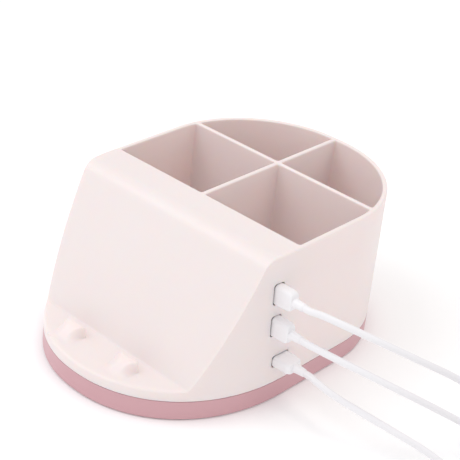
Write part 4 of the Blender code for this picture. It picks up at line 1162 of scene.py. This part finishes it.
    def under_side(self, skin: float) -> list[tuple[float, float]]:
        """The (y, z) line this far under the shelf, the face and the ridge, from the front to the top.

        Args:
            skin: How far it lies under the upper side.

        Returns:
            Its points.
        """
        centre_y, centre_z = self.face.ridge_centre()
        radius = self.face.ridge_radius - skin
        level = self.face.shelf_height - skin
        line = [(-self.reach, level), (self.face.slope_y(level, skin), level)]
        return line + [(centre_y - radius * math.sin(a), centre_z + radius * math.cos(a))
                       for a in np.linspace(self.face.slope_angle, 0.0, self.under_steps)]

    def build(self, ports: "Ports") -> bpy.types.Object:
        """Makes the body, hollows it, joins its posts and lips and cuts its ports.

        Args:
            ports: The ports in its right wall.

        Returns:
            The finished piece.
        """
        body = self.shell().piece("white_body")
        carve(body, self.cavity())
        Posts(self).join(body)
        for x in Lip().centres(self.divider_x):
            carve(body, Lip().mound(x, self.face.shelf_height).piece("lip"), Carve.JOIN)
        for port in ports.all():
            carve(body, port.opening().piece("port_opening"))
        close_up(body.data, most_sides=4)
        finished(body, CREAM_ABS)
        return placed(body, "organizer", "white_abs", "organizer_body")


@dataclass(frozen=True)
class Posts:
    """The posts inside the body that carry the coil's bracket and the output board, and take the screws."""

    body: Body
    base_radius: float = 3.6 * MM
    base_bore: float = 1.6 * MM
    base_bore_top: float = 17.3 * MM
    board_radius: float = 3.2 * MM
    screw_bore: float = 1.3 * MM
    screw_length: float = 6.0 * MM
    bracket_radius: float = 3.0 * MM
    bracket_tip: float = -2.6 * MM
    bracket_hole: tuple[float, float] = (30.0 * MM, 21.0 * MM)
    bracket_bore_end: float = -0.2 * MM
    peg_radius: float = 1.4 * MM
    peg_tip: float = -4.8 * MM

    def join(self, piece: bpy.types.Object) -> None:
        """Joins every post to the body and bores those that take a screw.

        Args:
            piece: The body.
        """
        self.join_base_posts(piece)
        self.join_board_posts(piece)
        self.join_bracket_posts(piece)

    def join_base_posts(self, piece: bpy.types.Object) -> None:
        """Joins the four posts of the base's screws: the front ones run up to the leaning face.

        Args:
            piece: The body.
        """
        body = self.body
        low = body.plan.seam_height + GAP
        under = low - body.overrun
        for corner in CORNERS:
            place = middle("base_screw_" + corner)[:2]
            at_back = place[1] > body.holder_front_y()
            top = body.floor_height - body.floor_thickness / 2 if at_back else TOTAL_HEIGHT
            post = rod(place, self.base_radius, low, top).piece("post")
            if not at_back:
                line = body.under_side(WALL / 2)
                line += [(body.reach, line[-1][1]), (body.reach, under), (-body.reach, under)]
                carve(post, body.prism("post_limit", line), Carve.KEEP)
            carve(piece, post, Carve.JOIN)
            carve(piece, rod(place, self.base_bore, under, self.base_bore_top).piece("bore"))

    def join_board_posts(self, piece: bpy.types.Object) -> None:
        """Joins the two posts of the output board to the holder's front wall.

        Args:
            piece: The body.
        """
        low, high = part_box("output_board")
        root = self.body.holder_front_y() - self.body.holder_wall / 2
        for name in ("upper", "lower"):
            x, _, z = middle("output_board_screw_" + name)
            spans = ((high.y + GAP, root, self.board_radius, Carve.JOIN),
                     (high.y - self.body.overrun / 4, low.y + self.screw_length, self.screw_bore, Carve.CUT))
            for start, end, radius, how in spans:
                line = np.array([(x, start, z), (x, end, z)])
                carve(piece, tube(line, radius, POST_SIDES).piece("post"), how)

    def join_bracket_posts(self, piece: bpy.types.Object) -> None:
        """Joins the four posts of the coil's bracket under the leaning face: two bored, two with a peg.

        Args:
            piece: The body.
        """
        face = self.body.face
        across, along = self.bracket_hole
        for right, high in ((-1, 1), (1, 1), (1, -1), (-1, -1)):
            x, up = self.body.divider_x + right * across, face.coil_up() + high * along
            runs = [(WALL / 2, self.bracket_tip, self.bracket_radius, Carve.JOIN)]
            if right == high:
                runs.append((WALL / 2, self.peg_tip, self.peg_radius, Carve.JOIN))
            else:
                runs.append((self.bracket_bore_end, self.bracket_tip - WALL, self.screw_bore, Carve.CUT))
            for start, end, radius, how in runs:
                line = np.array([face.under_face(x, up, start), face.under_face(x, up, end)])
                carve(piece, tube(line, radius, POST_SIDES).piece("post"), how)


@dataclass(frozen=True)
class Lip:
    """A lip that holds a phone's lower edge: a wave that rises to an upright back face.

    Its left end is rounded like a coin's edge. Its right end stands upright at the back and runs out in a
    soft slope towards the front.
    """

    width: float = 17.0 * MM
    depth: float = 12.5 * MM
    height: float = 6.2 * MM
    back_y: float = -83.2 * MM
    spacing: float = 41.0 * MM
    root: float = 1.0 * MM
    back_radius: float = 0.7 * MM
    left_round: float = 5.5 * MM
    right_fall: float = 0.8 * MM
    front_fall: float = 6.5 * MM
    sunk: float = 0.05 * MM
    soft_share: float = 0.6
    crowding: float = 0.8
    width_steps: int = 61
    depth_steps: int = 41
    round_steps: int = 5

    def centres(self, between: float) -> tuple[float, float]:
        """Gives the x of the two lips, from the x between them."""
        return between - self.spacing / 2, between + self.spacing / 2

    def crest(self, across: np.ndarray, along: np.ndarray) -> np.ndarray:
        """Share of the full height across the lip.

        The left end is a quarter circle at the back and a smooth step at the front, mixed by the cube of the
        share along the depth. The right end is a smooth step that widens towards the front likewise.

        Args:
            across: Distance from the left end, as a row.
            along: Share of the depth from the front, as a column.

        Returns:
            The shares, as an array of rows and columns.
        """
        coin = np.sqrt(1 - (1 - np.clip(across / self.left_round, 0.0, 1.0)) ** 2)
        upright = along ** 3
        left = mix(ease(across / self.front_fall), coin, upright)
        return left * ease((self.width - across) / mix(self.front_fall, self.right_fall, upright))

    def mound(self, x: float, shelf: float) -> Surface:
        """A closed mound whose height is a half cosine wave along its depth times the crest's share.

        The top leans into the back face on a quarter circle. The columns crowd towards both ends.

        Args:
            x: The lip's middle.
            shelf: The height of the shelf.

        Returns:
            The surface.
        """
        steps = np.linspace(0.0, 1.0, self.width_steps)
        across = self.width * mix(steps, (1 - np.cos(math.pi * steps)) / 2, self.crowding)[None, :]
        along = np.linspace(0.0, 1.0, self.depth_steps)[:, None]
        rise = (1 - np.cos(math.pi * along)) / 2
        heights = shelf - self.sunk + (self.height + self.sunk) * rise * self.crest(across, along)
        points = np.stack(np.broadcast_arrays(
            x + across - self.width / 2, self.back_y - self.depth * (1 - along), heights), axis=-1)
        soft = np.minimum(self.back_radius, (points[-1, :, 2] - shelf + self.sunk) * self.soft_share)
        turn = np.linspace(0.0, math.pi / 2, self.round_steps)[1:, None]
        rounded = points[-1] + soft[:, None] * np.stack([0 * turn, np.sin(turn), np.cos(turn) - 1], axis=-1)
        front, back = points[0].copy(), rounded[-1].copy()
        front[:, 2] = back[:, 2] = shelf - self.root
        made = Surface()
        rows = np.concatenate([front[None], points, rounded, back[None]])
        made.grid(rows, around=False)
        made.cap(rows[:, 0])
        made.cap(rows[:, -1])
        made.grid(np.stack([front, back]), around=False)
        return made


# The ports and what plugs into them

class Kind(Enum):
    """The two kinds of plug: small ones but for the input lead's far end, which is large."""

    LARGE = "large"
    SMALL = "small"


@dataclass(frozen=True)
class PlugSize:
    """The sizes of one kind of plug."""

    breadth: float
    thickness: float
    shell_breadth: float
    shell_thickness: float
    shell_corner: float


PLUGS = {
    Kind.LARGE: PlugSize(14.0 * MM, 7.0 * MM, 12.0 * MM, 4.5 * MM, 0.5 * MM),
    Kind.SMALL: PlugSize(11.8 * MM, 6.5 * MM, 8.3 * MM, 2.5 * MM, 1.1 * MM),
}


@dataclass(frozen=True)
class Port:
    """One port in the right wall, named for the lead whose small plug sits in it."""

    name: str
    y: float
    z: float
    face_x: float
    upright: bool
    opening_corner: float = 1.5 * MM
    clearance: float = 0.4 * MM
    cut_depth: float = 12.0 * MM

    def section(self) -> tuple[float, float]:
        """Gives the plug's y and z size: its long side stands or lies."""
        size = PLUGS[Kind.SMALL]
        return (size.thickness, size.breadth) if self.upright else (size.breadth, size.thickness)

    def opening(self) -> Surface:
        """Makes a bar that cuts the port: the plug's section with its clearance all round.

        Returns:
            The closed surface.
        """
        size = tuple(s + 2 * self.clearance for s in self.section())
        return bar([(self.face_x + way * self.cut_depth, size, self.opening_corner) for way in (-1, 1)],
                   (self.y, self.z))


@dataclass(frozen=True)
class Ports:
    """The three ports: two outputs one above the other behind the leaning face, and the input below."""

    plan: Plan
    face: Face
    setback: float = 16.6 * MM
    input_step_back: float = 5.9 * MM
    upper_share: float = 0.693
    lower_share: float = 0.4225
    input_share: float = 0.1028
    recess: float = 1.0 * MM

    def height(self, share: float) -> float:
        """Gives a port's height from its share of the height above the shelf."""
        return mix(self.face.shelf_height, TOTAL_HEIGHT, share)

    def output_y(self) -> float:
        """Gives the output ports' depth."""
        return self.face.slope_y(self.height(self.upper_share), WALL) + self.setback

    def port(self, name: str, share: float, step_back: float, upright: bool) -> Port:
        """Makes one port, its plug's face a little behind the wall's outer face."""
        y, z = self.output_y() + step_back, self.height(share)
        return Port(name, y, z, self.plan.wall_x(y, z) - self.recess, upright)

    def all(self) -> list[Port]:
        """Makes the three ports.

        Returns:
            The ports from top to bottom.
        """
        return [self.port("upper", self.upper_share, 0.0, True),
                self.port("lower", self.lower_share, 0.0, True),
                self.port("input", self.input_share, self.input_step_back, False)]


# The leads

@dataclass(frozen=True)
class Turns:
    """A lead's spare length: flat turns in two layers, and a tail that comes down to the far plug."""

    centre_x: float = 225.0 * MM
    pitch: float = 4.3 * MM
    mean_radius: float = 19.4 * MM
    loops: int = 7
    layers: int = 2
    low: float = 2.8 * MM
    tail_level: float = 10.0 * MM
    tail_fall: float = 17.0 * MM
    tail_straight: float = 4.0 * MM
    loop_steps: int = 72
    tail_steps: int = 9

    def outer(self) -> float:
        """Gives the first turn's radius."""
        return self.mean_radius + self.pitch * self.loops / 4

    def path(self, centre_y: float, turn: int, end_z: float) -> np.ndarray:
        """Points along the turns and the tail.

        The radius falls a pitch a loop to the middle of the length and grows again after it. The height goes
        up a pitch in the half turn about that middle, and down along the tail, both eased by a cosine.

        Args:
            centre_y: The depth of the coil's middle.
            turn: 1 where it is wound anticlockwise, seen from above, and -1 where clockwise.
            end_z: The height at which the tail enters the far plug.

        Returns:
            The points of the centre line.
        """
        loops = np.linspace(0.0, self.loops, self.loops * self.loop_steps + 1)
        past_middle = loops - self.loops / 2
        radius = self.outer() - self.pitch * (self.loops / 2 - np.abs(past_middle))
        high = self.low + self.pitch * (self.layers - 1)
        climb = np.clip(past_middle * 2 + 0.5, 0.0, 1.0)
        height = mix(self.low, high, (1 - np.cos(math.pi * climb)) / 2)
        angle = turn * (loops * math.tau - math.pi / 2)
        coil = np.stack([self.centre_x + radius * np.cos(angle), centre_y + radius * np.sin(angle), height],
                        axis=-1)
        share = np.linspace(0.0, 1.0, self.tail_steps)[1:]
        start = self.centre_x + self.tail_level
        x = np.concatenate([self.centre_x + self.tail_level * share, start + self.tail_fall * share,
                            start + self.tail_fall + self.tail_straight * share])
        z = np.concatenate([high + 0 * share, mix(high, end_z, (1 - np.cos(math.pi * share)) / 2),
                            end_z + 0 * share])
        return np.concatenate([coil, np.stack([x, centre_y - turn * self.outer() + 0 * x, z], axis=-1)])


def smooth_route(points: np.ndarray, step: float) -> np.ndarray:
    """Points along a Catmull-Rom curve, the cubic through each pair whose slopes join its neighbours.

    Args:
        points: The points that it runs through.
        step: About how far apart the new points lie.

    Returns:
        The curve's points.
    """
    ends = np.concatenate([[2 * points[0] - points[1]], points, [2 * points[-1] - points[-2]]])
    parts = [points[:1]]
    for a, b, c, d in zip(ends, ends[1:], ends[2:], ends[3:]):
        count = max(1, round(float(np.linalg.norm(c - b)) / step))
        t = np.linspace(0.0, 1.0, count + 1)[1:, None]
        parts.append(0.5 * (2 * b + (c - a) * t + (2 * a - 5 * b + 4 * c - d) * t * t
                            + (3 * b - a - 3 * c + d) * t * t * t))
    return np.concatenate(parts)


# The cords' routes from their ports to their coils, and the depth of each coil's middle
UPPER_ROUTE = np.array([(97, -26.9, 67.0), (108, -23.3, 65.5), (120, -16.9, 62.0), (131, -9.3, 57.5),
                        (143, 2.8, 49.8), (154.5, 17.6, 39.8), (166, 32.4, 27.1), (178, 44.5, 13.9),
                        (192, 53.9, 5.2), (207, 58.8, 2.8), (218, 59.9, 2.8)]) * MM
LOWER_ROUTE = np.array([(97, -28.8, 47.9), (109, -25.9, 46.5), (122, -20.6, 43.5), (136.5, -12.4, 38.3),
                        (150, -1.0, 30.5), (162.7, 12.4, 20.8), (175, 25.6, 11.1), (189, 37.0, 4.3),
                        (204, 44.0, 2.8), (218, 46.1, 2.8)]) * MM
INPUT_ROUTE = np.array([(98, -23.5, 24.6), (110, -23.2, 22.6), (127, -20.4, 20.0), (143, -14.9, 15.6),
                        (158, -8.4, 9.9), (172, -4.6, 4.8), (187, -5.4, 2.8), (203, -9.2, 2.8),
                        (218, -11.9, 2.8)]) * MM
UPPER_COIL_Y, LOWER_COIL_Y, INPUT_COIL_Y = 86.85 * MM, 19.15 * MM, -38.85 * MM


@dataclass(frozen=True)
class Plug:
    """A moulded plug: housing, shoulders, step and a tapered relief where the cord leaves.

    The shares say how far along the housing, or the relief, its section has each of the scales. The thin
    side takes only flank_share of the housing's narrowing.
    """

    kind: Kind
    length: float = 11.5 * MM
    relief_length: float = 6.5 * MM
    corner: float = 2.1 * MM
    edge: float = 0.5 * MM
    edge_steps: int = 5
    neck: float = 4.8 * MM
    pocket_depth: float = 4.0 * MM
    pocket_edge: float = 0.02 * MM
    pocket_widening: float = 0.1 * MM
    face_scale: float = 0.985
    corner_steps: int = 8
    shares: tuple[float, ...] = (0.05, 0.30, 0.55, 0.72, 0.80, 0.86, 0.91, 0.955, 0.985, 1.0)
    scales: tuple[float, ...] = (1.0, 1.0, 0.995, 0.975, 0.955, 0.925, 0.88, 0.815, 0.745, 0.67)
    relief_shares: tuple[float, ...] = (0.0, 0.05, 0.14, 0.3, 0.5, 0.7, 0.85, 0.95, 1.0)
    relief_scales: tuple[float, ...] = (1.15, 1.13, 1.1, 1.05, 1.0, 0.96, 0.93, 0.9, 0.85)
    flank_share: float = 0.4

    def surface(self, face_x: float, way: int, centre: tuple[float, float], upright: bool) -> Surface:
        """A rounded rectangle carried along the plug, from the pocket's floor out over the face to the neck.

        Args:
            face_x: The x of the face that its metal shell stands in.
            way: 1 where the cord leaves towards +X and -1 towards -X.
            centre: The y and z of its middle line.
            upright: Whether its long side stands.

        Returns:
            The closed surface.
        """
        size = PLUGS[self.kind]
        whole, shell = [np.array(pair if upright else pair[::-1]) for pair in (
            (size.thickness, size.breadth), (size.shell_thickness, size.shell_breadth))]
        shell = shell + 2 * GAP
        corner = size.shell_corner + GAP
        rows = [(self.pocket_depth + GAP, shell, corner), (self.pocket_edge, shell, corner),
                (0.0, shell + self.pocket_widening, corner)]
        rows += [(x, whole * self.face_scale - 2 * fall, self.corner)
                 for x, fall in reversed(quarter(self.edge, self.edge_steps))]
        flank = np.where(whole == whole.min(), self.flank_share, 1.0)
        rows += [(share * self.length, whole * (1 - (1 - scale) * flank), self.corner * scale)
                 for share, scale in zip(self.shares, self.scales)]
        rows += [(self.length + share * self.relief_length, np.full(2, self.neck * scale), self.neck)
                 for share, scale in zip(self.relief_shares, self.relief_scales)]
        return bar([(face_x + way * x, tuple(s), c) for x, s, c in rows], centre, self.corner_steps)


@dataclass(frozen=True)
class Strap:
    """A woven tie round one side of a coil, closed on itself."""

    turns: Turns = Turns()
    cord: float = CORD_DIAMETER
    width: float = 7.0 * MM
    thickness: float = 0.6 * MM
    corner: float = 2.6 * MM
    corner_steps: int = 8
    edge_shares: tuple[float, float] = (0.25, 0.75)

    def size(self) -> tuple[float, float]:
        """Works out how large the band is, from the turns that it goes round.

        Returns:
            Its length across the turns and its height over them.
        """
        across = self.turns.pitch * self.turns.loops / 2 + self.cord + 2 * (GAP + self.thickness)
        level = self.turns.low + self.turns.pitch * (self.turns.layers - 1)
        return across, level + self.cord / 2 + GAP + self.thickness

    def surface(self, centre_y: float) -> Surface:
        """A flat band carried round a rounded rectangle: an outer and an inner ring at each of two edges.

        Args:
            centre_y: The depth of the band's middle.

        Returns:
            The closed surface.
        """
        size = self.size()
        centre = np.array([self.turns.centre_x - self.turns.mean_radius, size[1] / 2])
        inner_size = tuple(s - 2 * self.thickness for s in size)
        outer = rounded_rectangle(size, self.corner, self.corner_steps) + centre
        inner = rounded_rectangle(inner_size, self.corner - self.thickness, self.corner_steps) + centre
        half, soft = self.width / 2, self.thickness / 4
        near, far = self.edge_shares
        band = ((0.0, half - soft), (0.0, soft - half), (near, -half), (far, -half), (1.0, soft - half),
                (1.0, half - soft), (far, half), (near, half), (0.0, half - soft))
        made = Surface()
        made.grid(np.array([np.insert(mix(outer, inner, share), 1, centre_y + edge, axis=1)
                            for share, edge in band]))
        return made


@dataclass(frozen=True)
class Lead:
    """One lead: its near plug in a port, a free cord, its spare turns with a tie, and its far plug."""

    port: Port
    route: np.ndarray
    coil_y: float
    turn: int
    far_kind: Kind
    diameter: float = CORD_DIAMETER
    step: float = 2.5 * MM
    tucked: float = 0.6 * MM

    def path(self) -> np.ndarray:
        """Points of the whole cord: straight out of the relief, along the route, round the turns, to the end.

        Returns:
            The points of the centre line.
        """
        plug = Plug(Kind.SMALL)
        port = self.port
        start = np.array([port.face_x + plug.length + plug.relief_length + GAP, port.y, port.z])
        turns = Turns()
        end = np.array([turns.centre_x - self.diameter - GAP, self.coil_y - self.turn * turns.outer(),
                        turns.low])
        straight = np.array([self.diameter, 0.0, 0.0])
        route = smooth_route(np.concatenate([[start, start + straight], self.route, [end - straight, end]]),
                             self.step)
        route[0, 0] -= self.tucked
        coil = turns.path(self.coil_y, self.turn, PLUGS[self.far_kind].thickness / 2)
        coil[-1, 0] += self.tucked
        return np.concatenate([route, coil])

    def build(self) -> None:
        name = self.port.name
        body = name + "_lead"
        near = Plug(Kind.SMALL)
        housing = near.surface(self.port.face_x, 1, (self.port.y, self.port.z), self.port.upright)
        plug = placed(housing.piece(name + "_plug", PLUG_TPE), body, "plug_white", name + "_plug_housing")
        path = self.path()
        cord = tube(path, self.diameter / 2).piece(name + "_cord", CORD_PVC, ROUND_CREASE)
        placed(cord, body, "cord_white", name + "_lead", name + "_lead_coil")
        turns = Turns()
        far_x = turns.centre_x + turns.tail_level + turns.tail_fall + turns.tail_straight + GAP
        far = Plug(self.far_kind)
        face_x = far_x + far.relief_length + far.length
        centre = (self.coil_y - self.turn * turns.outer(), PLUGS[self.far_kind].thickness / 2)
        far_plug = placed(far.surface(face_x, -1, centre, False).piece(name + "_far_plug", PLUG_TPE), body,
                          "plug_white", name + "_far_housing")
        strap = placed(Strap().surface(self.coil_y).piece(name + "_strap", NYLON_TAPE), body, "tie_black",
                       name + "_tie")
        shells = [smoothed_copy(name + "_plug_shell", name + "_near_shell", NICKEL_PLATE, body, "steel"),
                  smoothed_copy(name + "_far_shell", name + "_end_shell", NICKEL_PLATE, body, "steel")]


# The tray and what is inside

@dataclass
class Tray:
    """The rose base tray, with seats for its feet, posts and sinks for its screws and posts for its boards.
    """

    plan: Plan
    bottom: float = 0.6 * MM
    floor: float = 2.2 * MM
    overrun: float = 2.2 * MM
    edge_radius: float = 0.9 * MM
    edge_steps: int = 7
    top_radius: float = 0.2 * MM
    top_steps: int = 4
    lip_wall: float = 1.2 * MM
    lip_height: float = 2.2 * MM
    post_radius: float = 4.4 * MM
    sink_radius: float = 2.9 * MM
    sink_top: float = 5.0 * MM
    bore_radius: float = 1.6 * MM
    board_post: float = 3.2 * MM
    board_bore: float = 1.3 * MM
    board_bore_depth: float = 4.7 * MM
    seat_sides: int = 48

    def surface(self, columns: Column) -> Surface:
        """A profile carried round the plan: up the outside, over the rim and the locating lip, down inside.

        Args:
            columns: The body's own columns, so that both walls run on the same lines.

        Returns:
            The closed surface.
        """
        top, low = self.plan.seam_height, self.bottom
        profile = [(inset, low + rise) for inset, rise in quarter(self.edge_radius, self.edge_steps)]
        profile += [(0.0, z) for z in np.linspace(low + self.edge_radius + GAP,
                                                  top - self.top_radius - GAP, 3)]
        profile += [(inset, top - fall) for fall, inset in quarter(self.top_radius, self.top_steps)]
        lip_out = WALL + GAP
        lip_in = lip_out + self.lip_wall
        profile += [(lip_out, top), (lip_out, top + self.lip_height), (lip_in, top + self.lip_height),
                    (lip_in, low + self.floor)]
        level = np.full(len(columns.top), top)
        rows = np.array([self.plan.at(columns.stretch, columns.share, level, inset) for inset, _ in profile])
        rows[..., 2] = np.array([z for _, z in profile])[:, None]
        return loft(mirrored(rows))

    def build(self, columns: Column) -> bpy.types.Object:
        """Makes the tray, with seats for its feet, posts and sinks for its screws and posts for its board.

        Args:
            columns: The body's own columns.

        Returns:
            The finished piece.
        """
        tray = self.surface(columns).piece("rose_tray")
        root = self.bottom + self.floor / 2
        under, over = -self.plan.seam_height, 2 * self.plan.seam_height
        for corner in CORNERS:
            low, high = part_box("foot_" + corner)
            seat = rod(middle("foot_" + corner)[:2], (high.x - low.x) / 2 + GAP, low.z - self.overrun,
                       high.z + GAP, self.seat_sides)
            carve(tray, seat.piece("seat"))
            place = middle("base_screw_" + corner)[:2]
            post = rod(place, self.post_radius, root, self.plan.seam_height, self.seat_sides)
            carve(tray, post.piece("post"), Carve.JOIN)
            steps = [(self.sink_radius, under), (self.sink_radius, self.sink_top),
                     (self.bore_radius, self.sink_top), (self.bore_radius, over)]
            carve(tray, lathe(steps, place, self.seat_sides).piece("bore"))
        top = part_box("charger_board")[0].z - GAP
        for name in ("left", "right"):
            place = middle("charger_board_screw_" + name)[:2]
            carve(tray, rod(place, self.board_post, root, top).piece("post"), Carve.JOIN)
            carve(tray, rod(place, self.board_bore, top - self.board_bore_depth, over).piece("bore"))
        close_up(tray.data, most_sides=4)
        finished(tray, ROSE_ABS)
        return placed(tray, "organizer", "rose_abs", "base_tray")


class Insides:
    """The pieces that hardly show: feet, screws, boards, coil, sockets and wires, in their CAD shapes."""

    FINISHES = {
        "_screw_": (ZINC_SCREW, "steel"), "foot_": (FOOT_RUBBER, "grey_rubber"),
        "_board": (SOLDER_MASK, "board_green"), "_chip": (BLACK_EPOXY, "black_plastic"),
        "power_inductor": (BLACK_EPOXY, "black_plastic"), "filter_capacitor": (DRAWN_CAN, "steel"),
        "coil_bracket": (BLACK_ABS, "black_plastic"), "ferrite_sheet": (FERRITE, "ferrite"),
        "coil_lead_": (MAGNET_WIRE, "copper"), "link_lead_red": (RED_WIRE, "red_wire"),
        "link_lead_black": (BLACK_WIRE, "black_wire"), "_socket": (NICKEL_PLATE, "steel"),
        "_tongue": (TONGUE_LCP, "black_plastic"),
    }

    def build(self) -> None:
        """Copies each node whose name holds a key of FINISHES, in the first such key's finish; its slot is
        passed on unused.
        """
        for node in sorted(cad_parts):
            found = [look for key, look in self.FINISHES.items() if key in node]
            if found:
                smoothed_copy(node, node + "_piece", found[0][0], "organizer", found[0][1])


@dataclass(frozen=True)
class FlatCoil:
    """The charging coil: one layer of thick wire wound in a spiral behind the leaning face."""

    face: Face
    middle_x: float
    wire: float = 1.15 * MM
    pitch: float = 1.2 * MM
    bore: float = 10.5 * MM
    radius: float = 22.5 * MM
    thickness: float = 1.2 * MM
    steps: int = 80
    sides: int = 10

    def build(self) -> bpy.types.Object:
        """Winds the wire: its radius grows by a pitch a turn, in the plane of the face's inner side.

        Returns:
            The finished piece.
        """
        turns = (self.radius - self.bore - self.wire) / self.pitch
        count = int(turns * self.steps)
        angle = np.linspace(0.0, turns * math.tau, count)
        radius = self.bore + self.wire / 2 + self.pitch * angle / math.tau
        lean = self.face.slope_angle
        centre = self.face.under_face(self.middle_x, self.face.coil_up(), -GAP - self.thickness / 2)
        path = centre + np.stack([radius * np.cos(angle), radius * np.sin(angle) * math.cos(lean),
                                  radius * np.sin(angle) * math.sin(lean)], axis=-1)
        coil = tube(path, self.wire / 2, self.sides).piece("wound_coil", MAGNET_WIRE, ROUND_CREASE)
        return placed(coil, "organizer", "copper", "charge_coil")


# Studio

@dataclass(frozen=True)
class Camera:
    """The photograph's own view: where it stands, how it is tilted and its focal length in pixels."""

    image_px: float = 460.0
    focal_px: float = 1326.43
    sensor: float = 36.0
    elevation: float = math.radians(29.48)
    azimuth: float = math.radians(40.01)
    roll: float = math.radians(6.31)
    target: tuple[float, float, float] = (-9.777 * MM, 21.922 * MM, 50.0 * MM)
    distance: float = 762.74 * MM

    def build(self) -> None:
        """Makes the camera and sets it as the scene's own."""
        data = bpy.data.cameras.new("photo_camera")
        data.sensor_width = self.sensor
        data.lens = self.sensor * self.focal_px / self.image_px
        camera = linked("photo_camera", data)
        back = Vector((math.sin(self.azimuth) * math.cos(self.elevation),
                       -math.cos(self.azimuth) * math.cos(self.elevation), math.sin(self.elevation)))
        right = (-back).cross(Vector((0, 0, 1))).normalized()
        up = right.cross(-back)
        side = right * math.cos(self.roll) + up * math.sin(self.roll)
        top = up * math.cos(self.roll) - right * math.sin(self.roll)
        turn = Matrix((side, top, back)).transposed().to_4x4()
        camera.matrix_world = Matrix.Translation(Vector(self.target) + back * self.distance) @ turn
        bpy.context.scene.camera = camera


@dataclass(frozen=True)
class SoftLight:
    """A square area light that looks at a point above the desk."""

    name: str
    place: tuple[float, float, float]
    size: float
    power: float
    colour: str = "FFFFFF"
    aim: tuple[float, float, float] = (0.0, 0.0, 0.04)

    def build(self) -> None:
        """Makes the light."""
        data = bpy.data.lights.new(self.name, "AREA")
        data.shape = "SQUARE"
        data.size = self.size
        data.energy = self.power
        data.color = linear(self.colour)[:3]
        turn = (Vector(self.aim) - Vector(self.place)).to_track_quat("-Z", "Y")
        linked(self.name, data).matrix_world = Matrix.Translation(self.place) @ turn.to_matrix().to_4x4()


@dataclass(frozen=True)
class Studio:
    """A pale floor under a white sky: a large soft key from the left front, a weak fill and a top light."""

    floor_half: float = 4.0
    floor_glow: float = 0.05
    sky_strength: float = 0.785
    sky_colour: str = "FEFEFF"
    lights: tuple[SoftLight, ...] = (
        SoftLight("key", (-0.8, -0.9, 1.6), 1.4, 10.0, "F4FAFF"),
        SoftLight("fill", (1.4, 0.2, 1.0), 0.9, 1.2, "FFF4F0"),
        SoftLight("top", (0.1, 0.2, 1.8), 0.6, 3.5, "FFF6EC"),
    )

    def table(self) -> bpy.types.Material:
        """Lets the light table glow weakly, which keeps shadows pale.

        Returns:
            The floor's material.
        """
        acrylic = LIGHT_TABLE.material()
        shader = next(node for node in acrylic.node_tree.nodes if node.type == "BSDF_PRINCIPLED")
        shader.inputs["Emission Color"].default_value = linear(LIGHT_TABLE.colour)
        shader.inputs["Emission Strength"].default_value = self.floor_glow
        return acrylic

    def build(self) -> None:
        """Makes the floor, the sky and the lights."""
        made = Surface()
        half = self.floor_half
        made.grid(np.array([[(-half, -half, 0), (half, -half, 0)], [(-half, half, 0), (half, half, 0)]]),
                  around=False)
        floor = linked("studio_floor", made.mesh("studio_floor"))
        floor.data.materials.append(self.table())
        world = bpy.data.worlds.new("studio_sky")
        world.use_nodes = True
        sky = world.node_tree.nodes["Background"]
        sky.inputs["Color"].default_value = linear(self.sky_colour)
        sky.inputs["Strength"].default_value = self.sky_strength
        bpy.context.scene.world = world
        bpy.context.scene.view_settings.view_transform = "Standard"
        for light in self.lights:
            light.build()


def main() -> None:
    """Builds the studio and every piece of the object, in order."""
    logging.basicConfig(level=logging.INFO, format="%(name)s: %(message)s")
    Camera().build()
    Studio().build()
    body = Body()
    ports = Ports(body.plan, body.face)
    upper, lower, supply = ports.all()
    Lead(upper, UPPER_ROUTE, UPPER_COIL_Y, 1, Kind.SMALL).build()
    Lead(lower, LOWER_ROUTE, LOWER_COIL_Y, -1, Kind.SMALL).build()
    Lead(supply, INPUT_ROUTE, INPUT_COIL_Y, -1, Kind.LARGE).build()
    body.build(ports)
    Tray(body.plan).build(body.columns())
    FlatCoil(body.face, body.divider_x).build()
    Insides().build()


if __name__ == "__main__":
    main()
